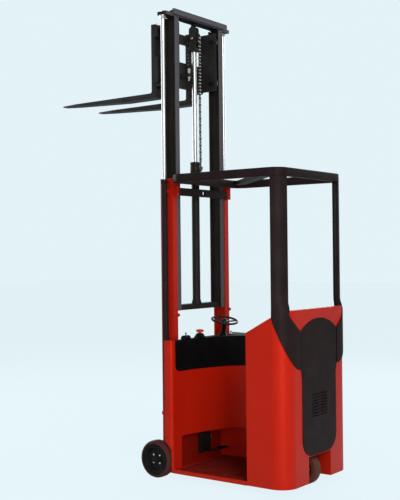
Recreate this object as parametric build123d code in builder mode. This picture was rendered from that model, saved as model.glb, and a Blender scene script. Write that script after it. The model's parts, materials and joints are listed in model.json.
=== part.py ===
"""Stand-on narrow-aisle forklift with a two-stage free-lift mast, mast raised.

Millimetres. +X is the truck's right, +Y points forward along the forks, +Z is up.
The origin is on the ground, midway between the two load wheels.
"""
import os
from math import asin, cos, degrees, radians, sin

from build123d import *

os.makedirs("parts", exist_ok=True)

# Body and operator's well
BODY_HALF = 430.0
BODY_REAR_Y = -1112.0
BODY_FRONT_Y = -75.0
BODY_BOTTOM_Z = 50.0
REAR_CORNER_R = 125.0
REAR_TOP_Z = 1240.0
SLOPE_TOP_Y = -1075.0
JAMB_Y = -790.0
JAMB_TOP_Z = 1085.0
SHEET = 4.0
FLOOR_Z = 66.0
FLOOR_PLATE = 8.0
SILL_HEIGHT = 28.0
SILL_WIDTH = 10.0
MAT_THICK = 6.0
MAT_INSET = 42.0
MAT_RIBS = 14
MAT_EDGE = 30.0
TOE_TOP_Z = 300.0
TOE_RETURN = 24.0
LEG_WIDTH = 110.0
CONSOLE_BOTTOM_Z = 772.0
CONSOLE_TOP_Z = 1000.0
CONSOLE_INSET = 45.0
CONSOLE_CORNER_R = 30.0
CONSOLE_EDGE_R = 10.0
LEG_Y = -143.0
LEG_CORNER_R = 25.0
SHROUD_ARC_R = 1300.0
SHROUD_KNEE_X = 95.0
ARCH_CLEARANCE = 15.0
SEAM = 1.0

# Battery
BATTERY_LENGTH = 624.0
BATTERY_WIDTH = 208.0
BATTERY_HEIGHT = 627.0
BATTERY_GAP = 2.0
DOOR_ROUND = 5.0
HINGE_LOW_Z = 300.0
HINGE_HIGH_Z = 760.0
KNUCKLE = 40.0
GRIP_Z = 620.0
GRIP_INSET = 70.0
GRIP_LENGTH = 130.0
GRIP_WIDTH = 34.0
LID_THICK = 8.0

# Mast
MAST_INSET = 80.0
MAST_REAR_Y = -107.0
OUTER_DEPTH = 114.0
OUTER_FLANGE = 49.0
OUTER_FLANGE_THICK = 12.0
OUTER_WEB = 11.0
OUTER_BOTTOM_Z = 56.0
INNER_DEPTH = 100.0
INNER_FLANGE = 48.0
INNER_FLANGE_THICK = 11.0
INNER_WEB = 10.0
MAST_GAP = 2.0
INNER_LOW_Z = 69.0
INNER_TRAVEL = 1140.0
ROLLER_PLAY = 0.5
AXLE_PLAY = 0.05
BOTTOM_BAR = 40.0
TOP_PLATE = 25.0
TOP_PLATE_REACH = 32.0
TOP_BAR_HEIGHT = 45.0
ANGLE_LEG = 8.0
HEAD_BAR_HEIGHT = 57.0
HEAD_BAR_THICK = 17.0
HEAD_BAR_SETBACK = 8.0
LIFTING_EYE_R = 17.0

# Side lift cylinders
SIDE_BARREL_R = 22.0
SIDE_ROD_R = 15.0
SIDE_BORE_R = 18.0
SIDE_GLAND_R = 27.0
SIDE_GLAND_LENGTH = 24.0
SIDE_CYLINDER_GAP = 4.0
SIDE_FOOT_Z = 455.0
FOOT_PLATE = 25.0
BARREL_FOOT = 20.0
ROD_PLAY = 0.1
CLAMP_PLAY = 0.3
CLAMP_DROP = 110.0
CLAMP_HEIGHT = 26.0
CLAMP_HALF = 30.0
LUG_HALF = 26.0

# Free-lift cylinder, sheave and chain
FREE_TRAVEL = 800.0
FREE_BARREL_R = 30.0
FREE_BORE_R = 24.0
FREE_ROD_R = 17.5
GLAND_R = 38.0
GLAND_LENGTH = 80.0
ROD_STUB = 43.0
PISTON_LENGTH = 40.0
BARREL_SPARE = 156.0
SHEAVE_RISE = 100.0
SHEAVE_PITCH_R = 52.0
SHEAVE_WIDTH = 28.0
SHEAVE_PIN_R = 10.0
CHAIN_PITCH = 25.4
CHAIN_HEIGHT = 13.0
CHAIN_WIDTH = 18.0
CHAIN_PLATE = 2.5
CHAIN_GAP = 0.5
CHEEK = 10.0
CHEEK_HALF = 30.0
CHEEK_RISE = 46.0
CROSSHEAD_BASE = 30.0
PIN_END = 6.0
ANCHOR_R = 6.5

# Carriage and forks
FORK_LOW_Z = 104.0
FORK_LENGTH = 960.0
FORK_WIDTH = 100.0
FORK_THICK = 40.0
FORK_TIP_THICK = 10.0
FORK_TIP_WIDTH = 56.0
FORK_TIP_RUN = 150.0
FORK_SPREAD = 422.0
FORK_HEAD = 15.0
FORK_HOOK = 22.0
FORK_PLAY = 0.5
HOOK_ROOM = 32.0
CARRIAGE_OVERHANG = 31.0
CARRIAGE_PLATE = 12.0
CARRIAGE_RISE = 54.0
CARRIAGE_HEIGHT = 449.0
BAR_REAR_Y = 78.0
BAR_THICK = 40.0
UPPER_BAR = 66.0
LOWER_BAR = 194.0
ROLLER_W = 16.0
STUB_R = 14.0

# Wheels
LOAD_WHEEL_R = 135.0
LOAD_WHEEL_W = 84.0
LOAD_RIM_R = 92.0
RIM_DISH = 26.0
RIM_DISC = 12.0
RIM_HUB_R = 36.0
RIM_BOSS = 10.0
RIM_BOSS_R = 8.0
TYRE_SHOULDER = 12.0
AXLE_R = 15.0
AXLE_PLATE = 16.0
AXLE_PLATE_REAR = 65.0
AXLE_PLATE_FRONT = 50.0
CROSS_PLATE = 26.0
WHEEL_GAP = 12.0
DRIVE_WHEEL_R = 115.0
DRIVE_WHEEL_W = 76.0
DRIVE_HUB_R = 78.0
HUB_WALL = 14.0
HUB_DISH = 18.0
DRIVE_SHOULDER = 7.0
DRIVE_AXLE_R = 20.0
WHEELBASE = 985.0
DRIVE_PLATE_Z = 262.0
DRIVE_PLATE = 12.0
TURNTABLE_R = 80.0
TURNTABLE_PLAY = 0.3
TURNTABLE_FLANGE = 16.0
TURNTABLE_LIP = 22.0
CASE_R = 60.0
CASE_NECK = 84.0
CASE_DEPTH = 34.0
MOTOR_R = 72.0
MOTOR_LENGTH = 210.0
MOTOR_FIN = 8.0
MOTOR_FINS = 24
BRAKE_R = 50.0
BRAKE_LENGTH = 90.0
RECESS_HALF = 150.0
RECESS_TOP_Z = 230.0
RECESS_DEPTH = 94.0
RECESS_LIP = 30.0

# Pump unit and controller
TANK_INSET = 55.0
TANK_GAP = 37.0
TANK_FORWARD = 60.0
TANK_DEPTH = 200.0
TANK_HEIGHT = 280.0
TANK_CORNER_R = 18.0
PUMP_R = 58.0
PUMP_LIP = 12.0
PUMP_FLANGE = 30.0
PUMP_LENGTH = 210.0
CONTROLLER_X = 150.0
CONTROLLER_Z = 720.0
CONTROLLER_WIDTH = 220.0
CONTROLLER_DEPTH = 80.0
CONTROLLER_HEIGHT = 240.0
CONTROLLER_FINS = 9

# Overhead guard
GUARD_TOP_Z = 2200.0
GUARD_PROUD = 10.0
GUARD_REAR_Y = -1085.0
RAIL_HEIGHT = 60.0
RAIL_WIDTH = 40.0
GUARD_CORNER_R = 100.0
DIAGONAL_HEIGHT = 30.0
POST_THICK = 20.0
POST_START = 190.0
POST_SWEEP = 74.0
FOOT_THICK = 20.0
FOOT_START = 186.0
FOOT_SWEEP = 51.0
FOOT_RISE = 60.0
FOOT_DROP = 31.0
FLARE_THICK = 8.0
FLARE_EDGE = ((8.5, FOOT_DROP), (6.7, 50.0), (-6.5, 184.0), (-54.5, 316.0), (-126.0, 394.0))

# Rear cover
COVER_THICK = 5.0
COVER_HALF = 230.0
COVER_SHOULDER_HALF = 245.0
COVER_BOTTOM_Z = 234.0
COVER_WAIST_Z = 839.0
COVER_TAPER = 60.0
COVER_SEAM = 3.0
COVER_SHOULDER_Z = 1094.0
COVER_TOP_Z = 1174.0
COVER_CORNER_R = 120.0
COVER_EDGE_R = 2.0
LOUVRE_LENGTH = 92.0
LOUVRE_SLOT = 7.0
LOUVRE_HOOD = 5.0
LOUVRE_REACH = 3.0
LOUVRE_ROWS = 8
LOUVRE_PITCH = 21.0
LOUVRE_MID_Z = 575.0
LOUVRE_COLUMN_X = 55.0

# Controls
STEER_X = 135.0
STEER_Y = -215.0
STEER_Z = 1116.0
STEER_R = 105.0
STEER_TILT = 14.0
STEER_LEAN = 22.0
STEER_RIM_R = 8.0
STEER_HUB_R = 26.0
STEER_HUB_DEPTH = 24.0
SPOKE_WIDTH = 20.0
SPOKE_THICK = 8.0
STEER_KNOB_R = 15.0
STEER_KNOB_HEIGHT = 16.0
COLUMN_R = 17.0
COLUMN_SUNK = 20.0
COLUMN_TAPER = 20.0
STEER_SHAFT_R = 8.0
ESTOP_X = -91.0
ESTOP_BASE_R = 46.0
ESTOP_BASE_TOP_R = 24.0
ESTOP_BASE_HEIGHT = 32.0
ESTOP_HEAD_R = 30.0
ESTOP_HEAD_HEIGHT = 20.0
ESTOP_STEM_R = 12.0
ESTOP_FLOOR = 8.0
ESTOP_PLAY = 0.3
ESTOP_TRAVEL = 6.0
LEVER_X = -244.0
POD_LENGTH = 95.0
POD_WIDTH = 46.0
POD_HEIGHT = 26.0
LEVER_R = 4.0
LEVER_HEIGHT = 19.0
LEVER_SLOT_HALF = 8.0
LEVER_SWING = 16.0
KEY_X = 235.0
KEY_Y = -200.0
KEY_R = 12.0
KEY_HEIGHT = 10.0
KEY_SHAFT = 12.0
KEY_SHAFT_R = 5.0
KEY_BOW = 18.0
KEY_BOW_HEIGHT = 23.0
KEY_BLADE = 3.0
PEDAL_X = -30.0
PEDAL_BRACKET_HALF = 55.0
PEDAL_BRACKET_DEPTH = 38.0
PEDAL_BRACKET_Z = 160.0
PEDAL_EAR = 10.0
PEDAL_PIVOT_Z = 145.0
PEDAL_PIVOT_R = 6.0
PEDAL_HUB_R = 11.0
PEDAL_PAD_X = 125.0
PEDAL_PAD_HALF = 45.0
PEDAL_REACH = 62.0
PEDAL_ARM = 18.0
PEDAL_ROD_R = 9.0

# Derived places
mast_half = BODY_HALF - MAST_INSET
mast_y = MAST_REAR_Y + OUTER_DEPTH / 2
guard_half = BODY_HALF + GUARD_PROUD
outer_top_z = GUARD_TOP_Z - 20
rail_low_z = GUARD_TOP_Z - RAIL_HEIGHT
outer_tip_x = mast_half - OUTER_FLANGE
inner_out_x = outer_tip_x - MAST_GAP
inner_in_x = inner_out_x - INNER_FLANGE
inner_web_x = (inner_out_x + inner_in_x) / 2
inner_rear_y = mast_y - INNER_DEPTH / 2
inner_low_z = INNER_LOW_Z + INNER_TRAVEL
outer_roller_r = (OUTER_DEPTH - 2 * OUTER_FLANGE_THICK) / 2 - ROLLER_PLAY
inner_roller_r = (INNER_DEPTH - 2 * INNER_FLANGE_THICK) / 2 - ROLLER_PLAY

free_base_z = inner_low_z + BOTTOM_BAR
free_barrel_length = FREE_TRAVEL + BARREL_SPARE + PISTON_LENGTH
free_barrel_top_z = free_base_z + free_barrel_length
gland_top_z = free_barrel_top_z + GLAND_LENGTH
crosshead_z = gland_top_z + ROD_STUB + FREE_TRAVEL
sheave_z = crosshead_z + SHEAVE_RISE
rear_strand_y = mast_y - SHEAVE_PITCH_R
front_strand_y = mast_y + SHEAVE_PITCH_R

fork_top_z = FORK_LOW_Z + INNER_TRAVEL + 2 * FREE_TRAVEL
carriage_half = inner_in_x + CARRIAGE_OVERHANG
carriage_low_z = fork_top_z + CARRIAGE_RISE
carriage_top_z = carriage_low_z + CARRIAGE_HEIGHT
inner_top_z = carriage_top_z + 28
bar_front_y = BAR_REAR_Y + BAR_THICK
shank_rear_y = bar_front_y + 2
shank_front_y = shank_rear_y + FORK_THICK
fork_tip_y = shank_front_y + FORK_LENGTH
upper_bar_z = carriage_top_z - 24 - UPPER_BAR
lower_bar_z = carriage_low_z + 14
lower_roller_z = carriage_low_z + 62
upper_roller_z = carriage_top_z - 62
anchor_z = lower_bar_z + 74

wheel_in_x = mast_half + AXLE_PLATE + WHEEL_GAP
wheel_mid_x = wheel_in_x + LOAD_WHEEL_W / 2
wheel_out_x = wheel_in_x + LOAD_WHEEL_W
arch_r = LOAD_WHEEL_R + ARCH_CLEARANCE
side_cylinder_x = mast_half + SIDE_CYLINDER_GAP + SIDE_BARREL_R
drive_y = -WHEELBASE

wall_x = BODY_HALF - SHEET - 2 * BATTERY_GAP - BATTERY_WIDTH - SHEET
panel_in_x = BODY_HALF - SHEET
bulkhead_y = MAST_REAR_Y - 4
bulkhead_rear_y = bulkhead_y - SHEET
bulkhead_half = wheel_in_x - 6
leg_start_x = -BODY_HALF + LEG_CORNER_R
knee_angle = asin((SHROUD_KNEE_X - leg_start_x) / SHROUD_ARC_R)
knee_y = LEG_Y - SHROUD_ARC_R * (1 - cos(knee_angle))
bend_r = (wall_x - SHROUD_KNEE_X) / (1 - sin(knee_angle))
bend_end_y = knee_y - bend_r * cos(knee_angle)
console_rear_y = bend_end_y - 8
guard_front_y = MAST_REAR_Y - HEAD_BAR_SETBACK - HEAD_BAR_THICK
console_left_x = -BODY_HALF + CONSOLE_INSET


def shroud_y(x):
    """Rear face of the curved bulkhead at a given x left of its knee."""
    return LEG_Y - SHROUD_ARC_R + (SHROUD_ARC_R**2 - (x - leg_start_x) ** 2) ** 0.5


def save(piece, name):
    """Names a finished piece and writes it to its own file."""
    piece.label = name
    export_step(piece, f"parts/{name}.step")


def well_curve(outset):
    """Two tangent arcs of the curved bulkhead, moved forward by outset."""
    knee = degrees(knee_angle)
    CenterArc((leg_start_x, LEG_Y - SHROUD_ARC_R), SHROUD_ARC_R + outset, 90, -knee)
    CenterArc((wall_x - bend_r, bend_end_y), bend_r + outset, 90 - knee, knee - 90)


def box_between(low, high, mode=Mode.ADD):
    """Box from its lowest to its highest corner, in the open part."""
    size = [b - a for a, b in zip(low, high)]
    middle = tuple((a + b) / 2 for a, b in zip(low, high))
    with Locations(middle):
        Box(*size, mode=mode)


def rod_along_x(y, z, x0, x1, radius, mode=Mode.ADD):
    """Cylinder along X between two x places, in the open part."""
    with Locations(((x0 + x1) / 2, y, z)):
        Cylinder(radius, abs(x1 - x0), rotation=(0, 90, 0), mode=mode)


def rod_along_z(x, y, z0, z1, radius, mode=Mode.ADD):
    """Cylinder along Z between two heights, in the open part."""
    with Locations((x, y, (z0 + z1) / 2)):
        Cylinder(radius, z1 - z0, mode=mode)


# Chassis frame: floor, front cross plate, stub axles, drive plate and sills
with BuildPart() as chassis:
    floor_half = panel_in_x - SEAM
    wheel_cut_y = -arch_r
    floor_rear_y = BODY_REAR_Y + SHEET + SEAM
    floor_low_z = FLOOR_Z - FLOOR_PLATE
    box_between((-floor_half, floor_rear_y, floor_low_z), (floor_half, bulkhead_y, FLOOR_Z))
    for side in (-1, 1):
        cut_x = sorted((side * (wheel_in_x - 2), side * (BODY_HALF + 1)))
        box_between((cut_x[0], wheel_cut_y, 0), (cut_x[1], 0, FLOOR_Z + 1), mode=Mode.SUBTRACT)
    with BuildSketch(Plane.XY.offset(floor_low_z - 1)):
        with Locations((0, BODY_REAR_Y)):
            Rectangle(2 * BODY_HALF, 2 * REAR_CORNER_R)
        with Locations((0, floor_rear_y + REAR_CORNER_R)):
            RectangleRounded(2 * floor_half, 2 * REAR_CORNER_R, REAR_CORNER_R - SHEET, mode=Mode.SUBTRACT)
    extrude(amount=FLOOR_PLATE + 2, mode=Mode.SUBTRACT)
    notch_half = RECESS_HALF + 6
    notch_y = drive_y + DRIVE_WHEEL_R + 12
    box_between((-notch_half, BODY_REAR_Y, 0), (notch_half, notch_y, FLOOR_Z + 1), mode=Mode.SUBTRACT)
    cross_half = mast_half + AXLE_PLATE
    cross_front_y = MAST_REAR_Y + OUTER_DEPTH
    cross_low = (-cross_half, wheel_cut_y, OUTER_BOTTOM_Z - CROSS_PLATE)
    box_between(cross_low, (cross_half, cross_front_y, OUTER_BOTTOM_Z))
    box_between(cross_low, (cross_half, bulkhead_y, FLOOR_Z))
    for side in (-1, 1):
        plate_x = sorted((side * mast_half, side * cross_half))
        axle_plate_low = (plate_x[0], -AXLE_PLATE_REAR, OUTER_BOTTOM_Z - CROSS_PLATE)
        box_between(axle_plate_low, (plate_x[1], AXLE_PLATE_FRONT, LOAD_WHEEL_R + AXLE_PLATE_REAR))
        rod_along_x(0, LOAD_WHEEL_R, side * cross_half, side * (wheel_in_x - 1), AXLE_R + 10)
        rod_along_x(0, LOAD_WHEEL_R, side * cross_half, side * (wheel_out_x - 12), AXLE_R)
        web_x = sorted((side * (notch_half + 2), side * (notch_half + 10)))
        web_rear_y = floor_rear_y + 12
        box_between((web_x[0], web_rear_y, FLOOR_Z - 1), (web_x[1], JAMB_Y - 8, DRIVE_PLATE_Z + 1))
        sill_width = SILL_WIDTH if side < 0 else SHEET + SEAM
        sill_x = sorted((side * BODY_HALF, side * (BODY_HALF - sill_width)))
        sill_low_z = BODY_BOTTOM_Z - 2
        sill_front_y = min(LEG_Y, wheel_cut_y) - 2
        sill_high = (sill_x[1], sill_front_y, sill_low_z + SILL_HEIGHT)
        box_between((sill_x[0], JAMB_Y + SEAM, sill_low_z), sill_high)
    plate_half = notch_half + 10
    plate_top_z = DRIVE_PLATE_Z + DRIVE_PLATE
    box_between((-plate_half, web_rear_y, DRIVE_PLATE_Z), (plate_half, JAMB_Y - 8, plate_top_z))
    rod_along_z(0, drive_y, DRIVE_PLATE_Z - 1, plate_top_z + 1, TURNTABLE_R, mode=Mode.SUBTRACT)
save(chassis.part, "chassis_frame")


# Room for the console between the shroud's left strip and the right side
with BuildPart() as console_gap:
    gap_low = (console_left_x - SEAM, console_rear_y, CONSOLE_BOTTOM_Z)
    box_between(gap_low, (wall_x + SHEET + 1, bulkhead_y + 90, CONSOLE_TOP_Z + 1))
    gap_corner = console_gap.edges().filter_by(Axis.Y).group_by(Axis.Z)[0].sort_by(Axis.X)[0]
    fillet(gap_corner, radius=CONSOLE_CORNER_R)


def shroud_path(outset):
    """Plan line of the shroud: left wing, corner, curve and right wall, moved inwards by outset."""
    Line((-BODY_HALF + outset, BODY_FRONT_Y), (-BODY_HALF + outset, LEG_Y + LEG_CORNER_R))
    CenterArc((leg_start_x, LEG_Y + LEG_CORNER_R), LEG_CORNER_R - outset, 180, 90)
    well_curve(outset)
    Line((wall_x + outset, bend_end_y), (wall_x + outset, JAMB_Y + SEAM))


# Front shroud: left wing, leg, curved bulkhead over the toe space, and the wall beside the battery
with BuildPart() as shroud:
    with BuildSketch(Plane.XY.offset(BODY_BOTTOM_Z)):
        with BuildLine():
            shroud_path(0)
            shroud_path(SHEET)
            Line((-BODY_HALF, BODY_FRONT_Y), (-BODY_HALF + SHEET, BODY_FRONT_Y))
            Line((wall_x, JAMB_Y + SEAM), (wall_x + SHEET, JAMB_Y + SEAM))
        make_face()
    extrude(amount=CONSOLE_TOP_Z - BODY_BOTTOM_Z)
    leg_x = -BODY_HALF + LEG_WIDTH
    below = BODY_BOTTOM_Z - 1
    toe_high = (wall_x + SHEET, bulkhead_y, TOE_TOP_Z)
    box_between((leg_x, bend_end_y, below), toe_high, mode=Mode.SUBTRACT)
    wall_foot = (wall_x + SHEET + 1, bend_end_y, FLOOR_Z)
    box_between((wall_x - 1, JAMB_Y, below), wall_foot, mode=Mode.SUBTRACT)
    leg_foot = (leg_x + 1, bulkhead_y, FLOOR_Z)
    box_between((-wheel_in_x, LEG_Y - SHEET, below), leg_foot, mode=Mode.SUBTRACT)
    add(console_gap.part, mode=Mode.SUBTRACT)
    box_between((wall_x, bend_end_y - 1, FLOOR_Z), (wall_x + SHEET, bulkhead_rear_y, TOE_TOP_Z))
    rod_along_x(0, LOAD_WHEEL_R, -BODY_HALF - 1, -wheel_in_x, arch_r, mode=Mode.SUBTRACT)
    leg_top_z = LOAD_WHEEL_R + arch_r
    return_rear_y = shroud_y(leg_x)
    return_high = (leg_x, return_rear_y + TOE_RETURN, TOE_TOP_Z + SHEET)
    box_between((leg_x - SHEET, return_rear_y, FLOOR_Z), return_high)
    with BuildSketch(Plane.XY.offset(TOE_TOP_Z)):
        with BuildLine():
            well_curve(0)
            well_curve(TOE_RETURN)
            Line((leg_start_x, LEG_Y), (leg_start_x, LEG_Y + TOE_RETURN))
            Line((wall_x, bend_end_y), (wall_x + TOE_RETURN, bend_end_y))
        make_face()
        with Locations(((leg_x + wall_x + SHEET) / 2, bend_end_y / 2)):
            Rectangle(wall_x + SHEET - leg_x, -bend_end_y, mode=Mode.INTERSECT)
    extrude(amount=SHEET)
    box_between((-BODY_HALF + SHEET / 2, LEG_Y, BODY_BOTTOM_Z), (-wheel_in_x, LEG_Y + SHEET, leg_top_z))
    strip_right_x = console_left_x - SEAM
    cap_front_y = BODY_FRONT_Y - 10
    with BuildSketch(Plane.XY.offset(CONSOLE_TOP_Z - SHEET)) as cap:
        with Locations(((strip_right_x - BODY_HALF) / 2, (LEG_Y + cap_front_y) / 2)):
            Rectangle(strip_right_x + BODY_HALF, cap_front_y - LEG_Y)
        fillet(cap.vertices().group_by(Axis.Y)[0].sort_by(Axis.X)[0], radius=LEG_CORNER_R)
    extrude(amount=SHEET)
save(shroud.part, "front_shroud")

# Front bulkhead behind the mast, with the right wing, its leg and the door's hinge posts
hinge_x = BODY_HALF + DOOR_ROUND
hinge_y = LEG_Y - 14
with BuildPart() as bulkhead:
    bulkhead_top_z = CONSOLE_BOTTOM_Z - SEAM
    wing_low_z = BODY_BOTTOM_Z + 20
    jog_x = bulkhead_half - SHEET
    box_between((-bulkhead_half, bulkhead_rear_y, FLOOR_Z), (bulkhead_half, bulkhead_y, bulkhead_top_z))
    box_between((jog_x, LEG_Y, FLOOR_Z), (bulkhead_half, bulkhead_y, bulkhead_top_z))
    box_between((jog_x, LEG_Y, wing_low_z), (BODY_HALF, LEG_Y + SHEET, bulkhead_top_z))
    wing_rear_y = hinge_y + 6
    wing_low = (panel_in_x, wing_rear_y, wing_low_z)
    box_between(wing_low, (BODY_HALF, BODY_FRONT_Y, CONSOLE_TOP_Z))
    rod_along_x(0, LOAD_WHEEL_R, panel_in_x - 1, BODY_HALF + 1, arch_r, mode=Mode.SUBTRACT)
    box_between(wing_low, (BODY_HALF, LEG_Y + SHEET, LOAD_WHEEL_R + arch_r))
    for knuckle_z in (HINGE_LOW_Z, HINGE_HIGH_Z):
        knuckle_top_z = knuckle_z + KNUCKLE
        rod_along_z(hinge_x, hinge_y, knuckle_z, knuckle_top_z, DOOR_ROUND)
        box_between((BODY_HALF, hinge_y, knuckle_z), (hinge_x, LEG_Y + 20, knuckle_top_z))
        rod_along_z(hinge_x, hinge_y, knuckle_top_z, knuckle_top_z + KNUCKLE - 2, DOOR_ROUND / 2)
save(bulkhead.part, "front_bulkhead")

# Battery door on the right side, hung on two lift-off hinges at its front edge
door_front_y = hinge_y + 4
with BuildPart() as door:
    door_low = (panel_in_x, JAMB_Y + 2, BODY_BOTTOM_Z + SILL_HEIGHT)
    box_between(door_low, (BODY_HALF, door_front_y, CONSOLE_TOP_Z - 2))
    with BuildSketch(Plane.YZ.offset(panel_in_x - 1)):
        with Locations((JAMB_Y + GRIP_INSET, GRIP_Z)):
            SlotOverall(GRIP_LENGTH, GRIP_WIDTH, rotation=90)
    extrude(amount=SHEET + 2, mode=Mode.SUBTRACT)
    pin_hole_r = DOOR_ROUND / 2 + AXLE_PLAY
    for post_z in (HINGE_LOW_Z, HINGE_HIGH_Z):
        knuckle_z = post_z + KNUCKLE + 1
        knuckle_top_z = knuckle_z + KNUCKLE - 2
        rod_along_z(hinge_x, hinge_y, knuckle_z, knuckle_top_z, DOOR_ROUND)
        box_between((BODY_HALF - 1, hinge_y - 24, knuckle_z), (hinge_x, hinge_y, knuckle_top_z))
        rod_along_z(hinge_x, hinge_y, knuckle_z - 1, knuckle_top_z + 1, pin_hole_r, mode=Mode.SUBTRACT)
save(door.part, "battery_door")

# Battery with its lifting rims and cell tops
with BuildPart() as battery:
    battery_x = wall_x + SHEET + BATTERY_GAP + BATTERY_WIDTH / 2
    battery_rear_y = JAMB_Y + 6
    battery_y = battery_rear_y + BATTERY_LENGTH / 2
    battery_top_z = FLOOR_Z + BATTERY_HEIGHT
    with Locations((battery_x, battery_y, FLOOR_Z + BATTERY_HEIGHT / 2)):
        Box(BATTERY_WIDTH, BATTERY_LENGTH, BATTERY_HEIGHT)
    with Locations((battery_x, battery_y, battery_top_z)):
        Box(BATTERY_WIDTH - 16, BATTERY_LENGTH - 16, 60, mode=Mode.SUBTRACT)
    with Locations((battery_x, battery_y, battery_top_z - 22)):
        with GridLocations(BATTERY_WIDTH / 2 - 10, BATTERY_LENGTH / 6 - 3, 2, 6):
            Box(BATTERY_WIDTH / 2 - 16, BATTERY_LENGTH / 6 - 9, 20)
save(battery.part, "battery")

with BuildPart() as lid:
    lid_top_z = CONSOLE_TOP_Z + LID_THICK
    box_between((wall_x, JAMB_Y + SEAM, CONSOLE_TOP_Z), (BODY_HALF, console_rear_y - SEAM, lid_top_z))
    fillet(lid.edges().group_by(Axis.Z)[-1], radius=LID_THICK / 3)
save(lid.part, "battery_lid")


def shell_block(inset, front_y, bottom_z):
    """Rear body block with round rear corners and a sloping top, moved inwards by inset."""
    top_z = REAR_TOP_Z - inset
    with BuildPart() as block:
        with BuildSketch(Plane.XY.offset(bottom_z)) as plan:
            half = BODY_HALF - inset
            rear_y = BODY_REAR_Y + inset
            with BuildLine():
                Polyline((half, front_y), (half, rear_y), (-half, rear_y), (-half, front_y), close=True)
            make_face()
            fillet(plan.vertices().group_by(Axis.Y)[0], radius=REAR_CORNER_R - inset)
        extrude(amount=top_z - bottom_z)
        rise = (REAR_TOP_Z - JAMB_TOP_Z) / (JAMB_Y - SLOPE_TOP_Y)
        front_z = REAR_TOP_Z - rise * (front_y - SLOPE_TOP_Y) - inset
        with BuildSketch(Plane.YZ.offset(-BODY_HALF - 20)):
            with BuildLine():
                Polyline((SLOPE_TOP_Y, top_z), (front_y, front_z), (front_y, top_z + 1),
                         (SLOPE_TOP_Y, top_z + 1), close=True)
            make_face()
        extrude(amount=2 * BODY_HALF + 40, mode=Mode.SUBTRACT)
    return block.part


# Rear shell round the drive compartment
envelope = shell_block(0, JAMB_Y, BODY_BOTTOM_Z)
hollow = shell_block(SHEET, JAMB_Y + 20, BODY_BOTTOM_Z - 20)
with BuildPart() as rear_shell:
    add(envelope)
    add(hollow, mode=Mode.SUBTRACT)
    skin_in_y = BODY_REAR_Y + SHEET + 1
    recess_low = (-RECESS_HALF, BODY_REAR_Y - 1, BODY_BOTTOM_Z - 1)
    box_between(recess_low, (RECESS_HALF, skin_in_y, RECESS_TOP_Z), mode=Mode.SUBTRACT)
    access_half = COVER_HALF - 30
    access_low = (-access_half, BODY_REAR_Y - 1, COVER_BOTTOM_Z + 36)
    access_high = (access_half, skin_in_y, COVER_SHOULDER_Z - 30)
    box_between(access_low, access_high, mode=Mode.SUBTRACT)
    lip_top_z = RECESS_TOP_Z + SHEET
    lip_half = RECESS_HALF + SHEET
    for side in (-1, 1):
        return_x = sorted((side * RECESS_HALF, side * lip_half))
        return_high = (return_x[1], BODY_REAR_Y + RECESS_DEPTH, lip_top_z)
        box_between((return_x[0], BODY_REAR_Y, BODY_BOTTOM_Z), return_high)
    box_between((-lip_half, BODY_REAR_Y, RECESS_TOP_Z), (lip_half, BODY_REAR_Y + RECESS_LIP, lip_top_z))
save(rear_shell.part, "rear_shell")

with BuildPart() as well_wall:
    well_wall_half = panel_in_x - SEAM
    well_wall_high = (well_wall_half, JAMB_Y - 2, JAMB_TOP_Z - 8)
    box_between((-well_wall_half, JAMB_Y - SHEET - 2, FLOOR_Z), well_wall_high)
save(well_wall.part, "well_rear_wall")

# Rubber mat with raised ribs
with BuildPart() as mat:
    mat_left_x = -BODY_HALF + SILL_WIDTH + MAT_INSET
    mat_rear_y = JAMB_Y + 4
    mat_front_y = min(LEG_Y, -arch_r) - 10
    box_between((mat_left_x, mat_rear_y, FLOOR_Z), (wall_x - 3, mat_front_y, FLOOR_Z + MAT_THICK / 2))
    rib_pitch = (mat_front_y - mat_rear_y - MAT_EDGE) / (MAT_RIBS - 1)
    mat_mid = ((mat_left_x + wall_x) / 2, (mat_front_y + mat_rear_y) / 2, FLOOR_Z + MAT_THICK * 0.7)
    with Locations(mat_mid):
        with GridLocations(1, rib_pitch, 1, MAT_RIBS):
            Box(wall_x - mat_left_x - MAT_EDGE, rib_pitch * 0.55, MAT_THICK * 0.6)
save(mat.part, "floor_mat")

# Console: moulded top that follows the curved bulkhead
with BuildPart() as console:
    with BuildSketch(Plane.XY.offset(CONSOLE_BOTTOM_Z)):
        right_x = panel_in_x - SEAM
        with BuildLine():
            Line((leg_start_x, bulkhead_y), (leg_start_x, LEG_Y))
            well_curve(0)
            Polyline((wall_x, bend_end_y), (wall_x, console_rear_y), (right_x, console_rear_y),
                     (right_x, bulkhead_y), (leg_start_x, bulkhead_y))
        make_face()
    extrude(amount=CONSOLE_TOP_Z - CONSOLE_BOTTOM_Z)
    beyond_low = (-BODY_HALF, console_rear_y, CONSOLE_BOTTOM_Z - 1)
    box_between(beyond_low, (console_left_x, bulkhead_y + 1, CONSOLE_TOP_Z + 1), mode=Mode.SUBTRACT)
    left_low = console.edges().filter_by(Axis.Y).group_by(Axis.Z)[0].sort_by(Axis.X)[0]
    fillet(left_low, radius=CONSOLE_CORNER_R)
    fillet(console.edges().group_by(Axis.Z)[-1].filter_by(GeomType.CIRCLE), radius=CONSOLE_EDGE_R)
    key_hole_z = CONSOLE_TOP_Z - KEY_SHAFT - 1
    rod_along_z(KEY_X, KEY_Y, key_hole_z, CONSOLE_TOP_Z + 1, KEY_SHAFT_R + AXLE_PLAY, mode=Mode.SUBTRACT)
save(console.part, "console")

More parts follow.
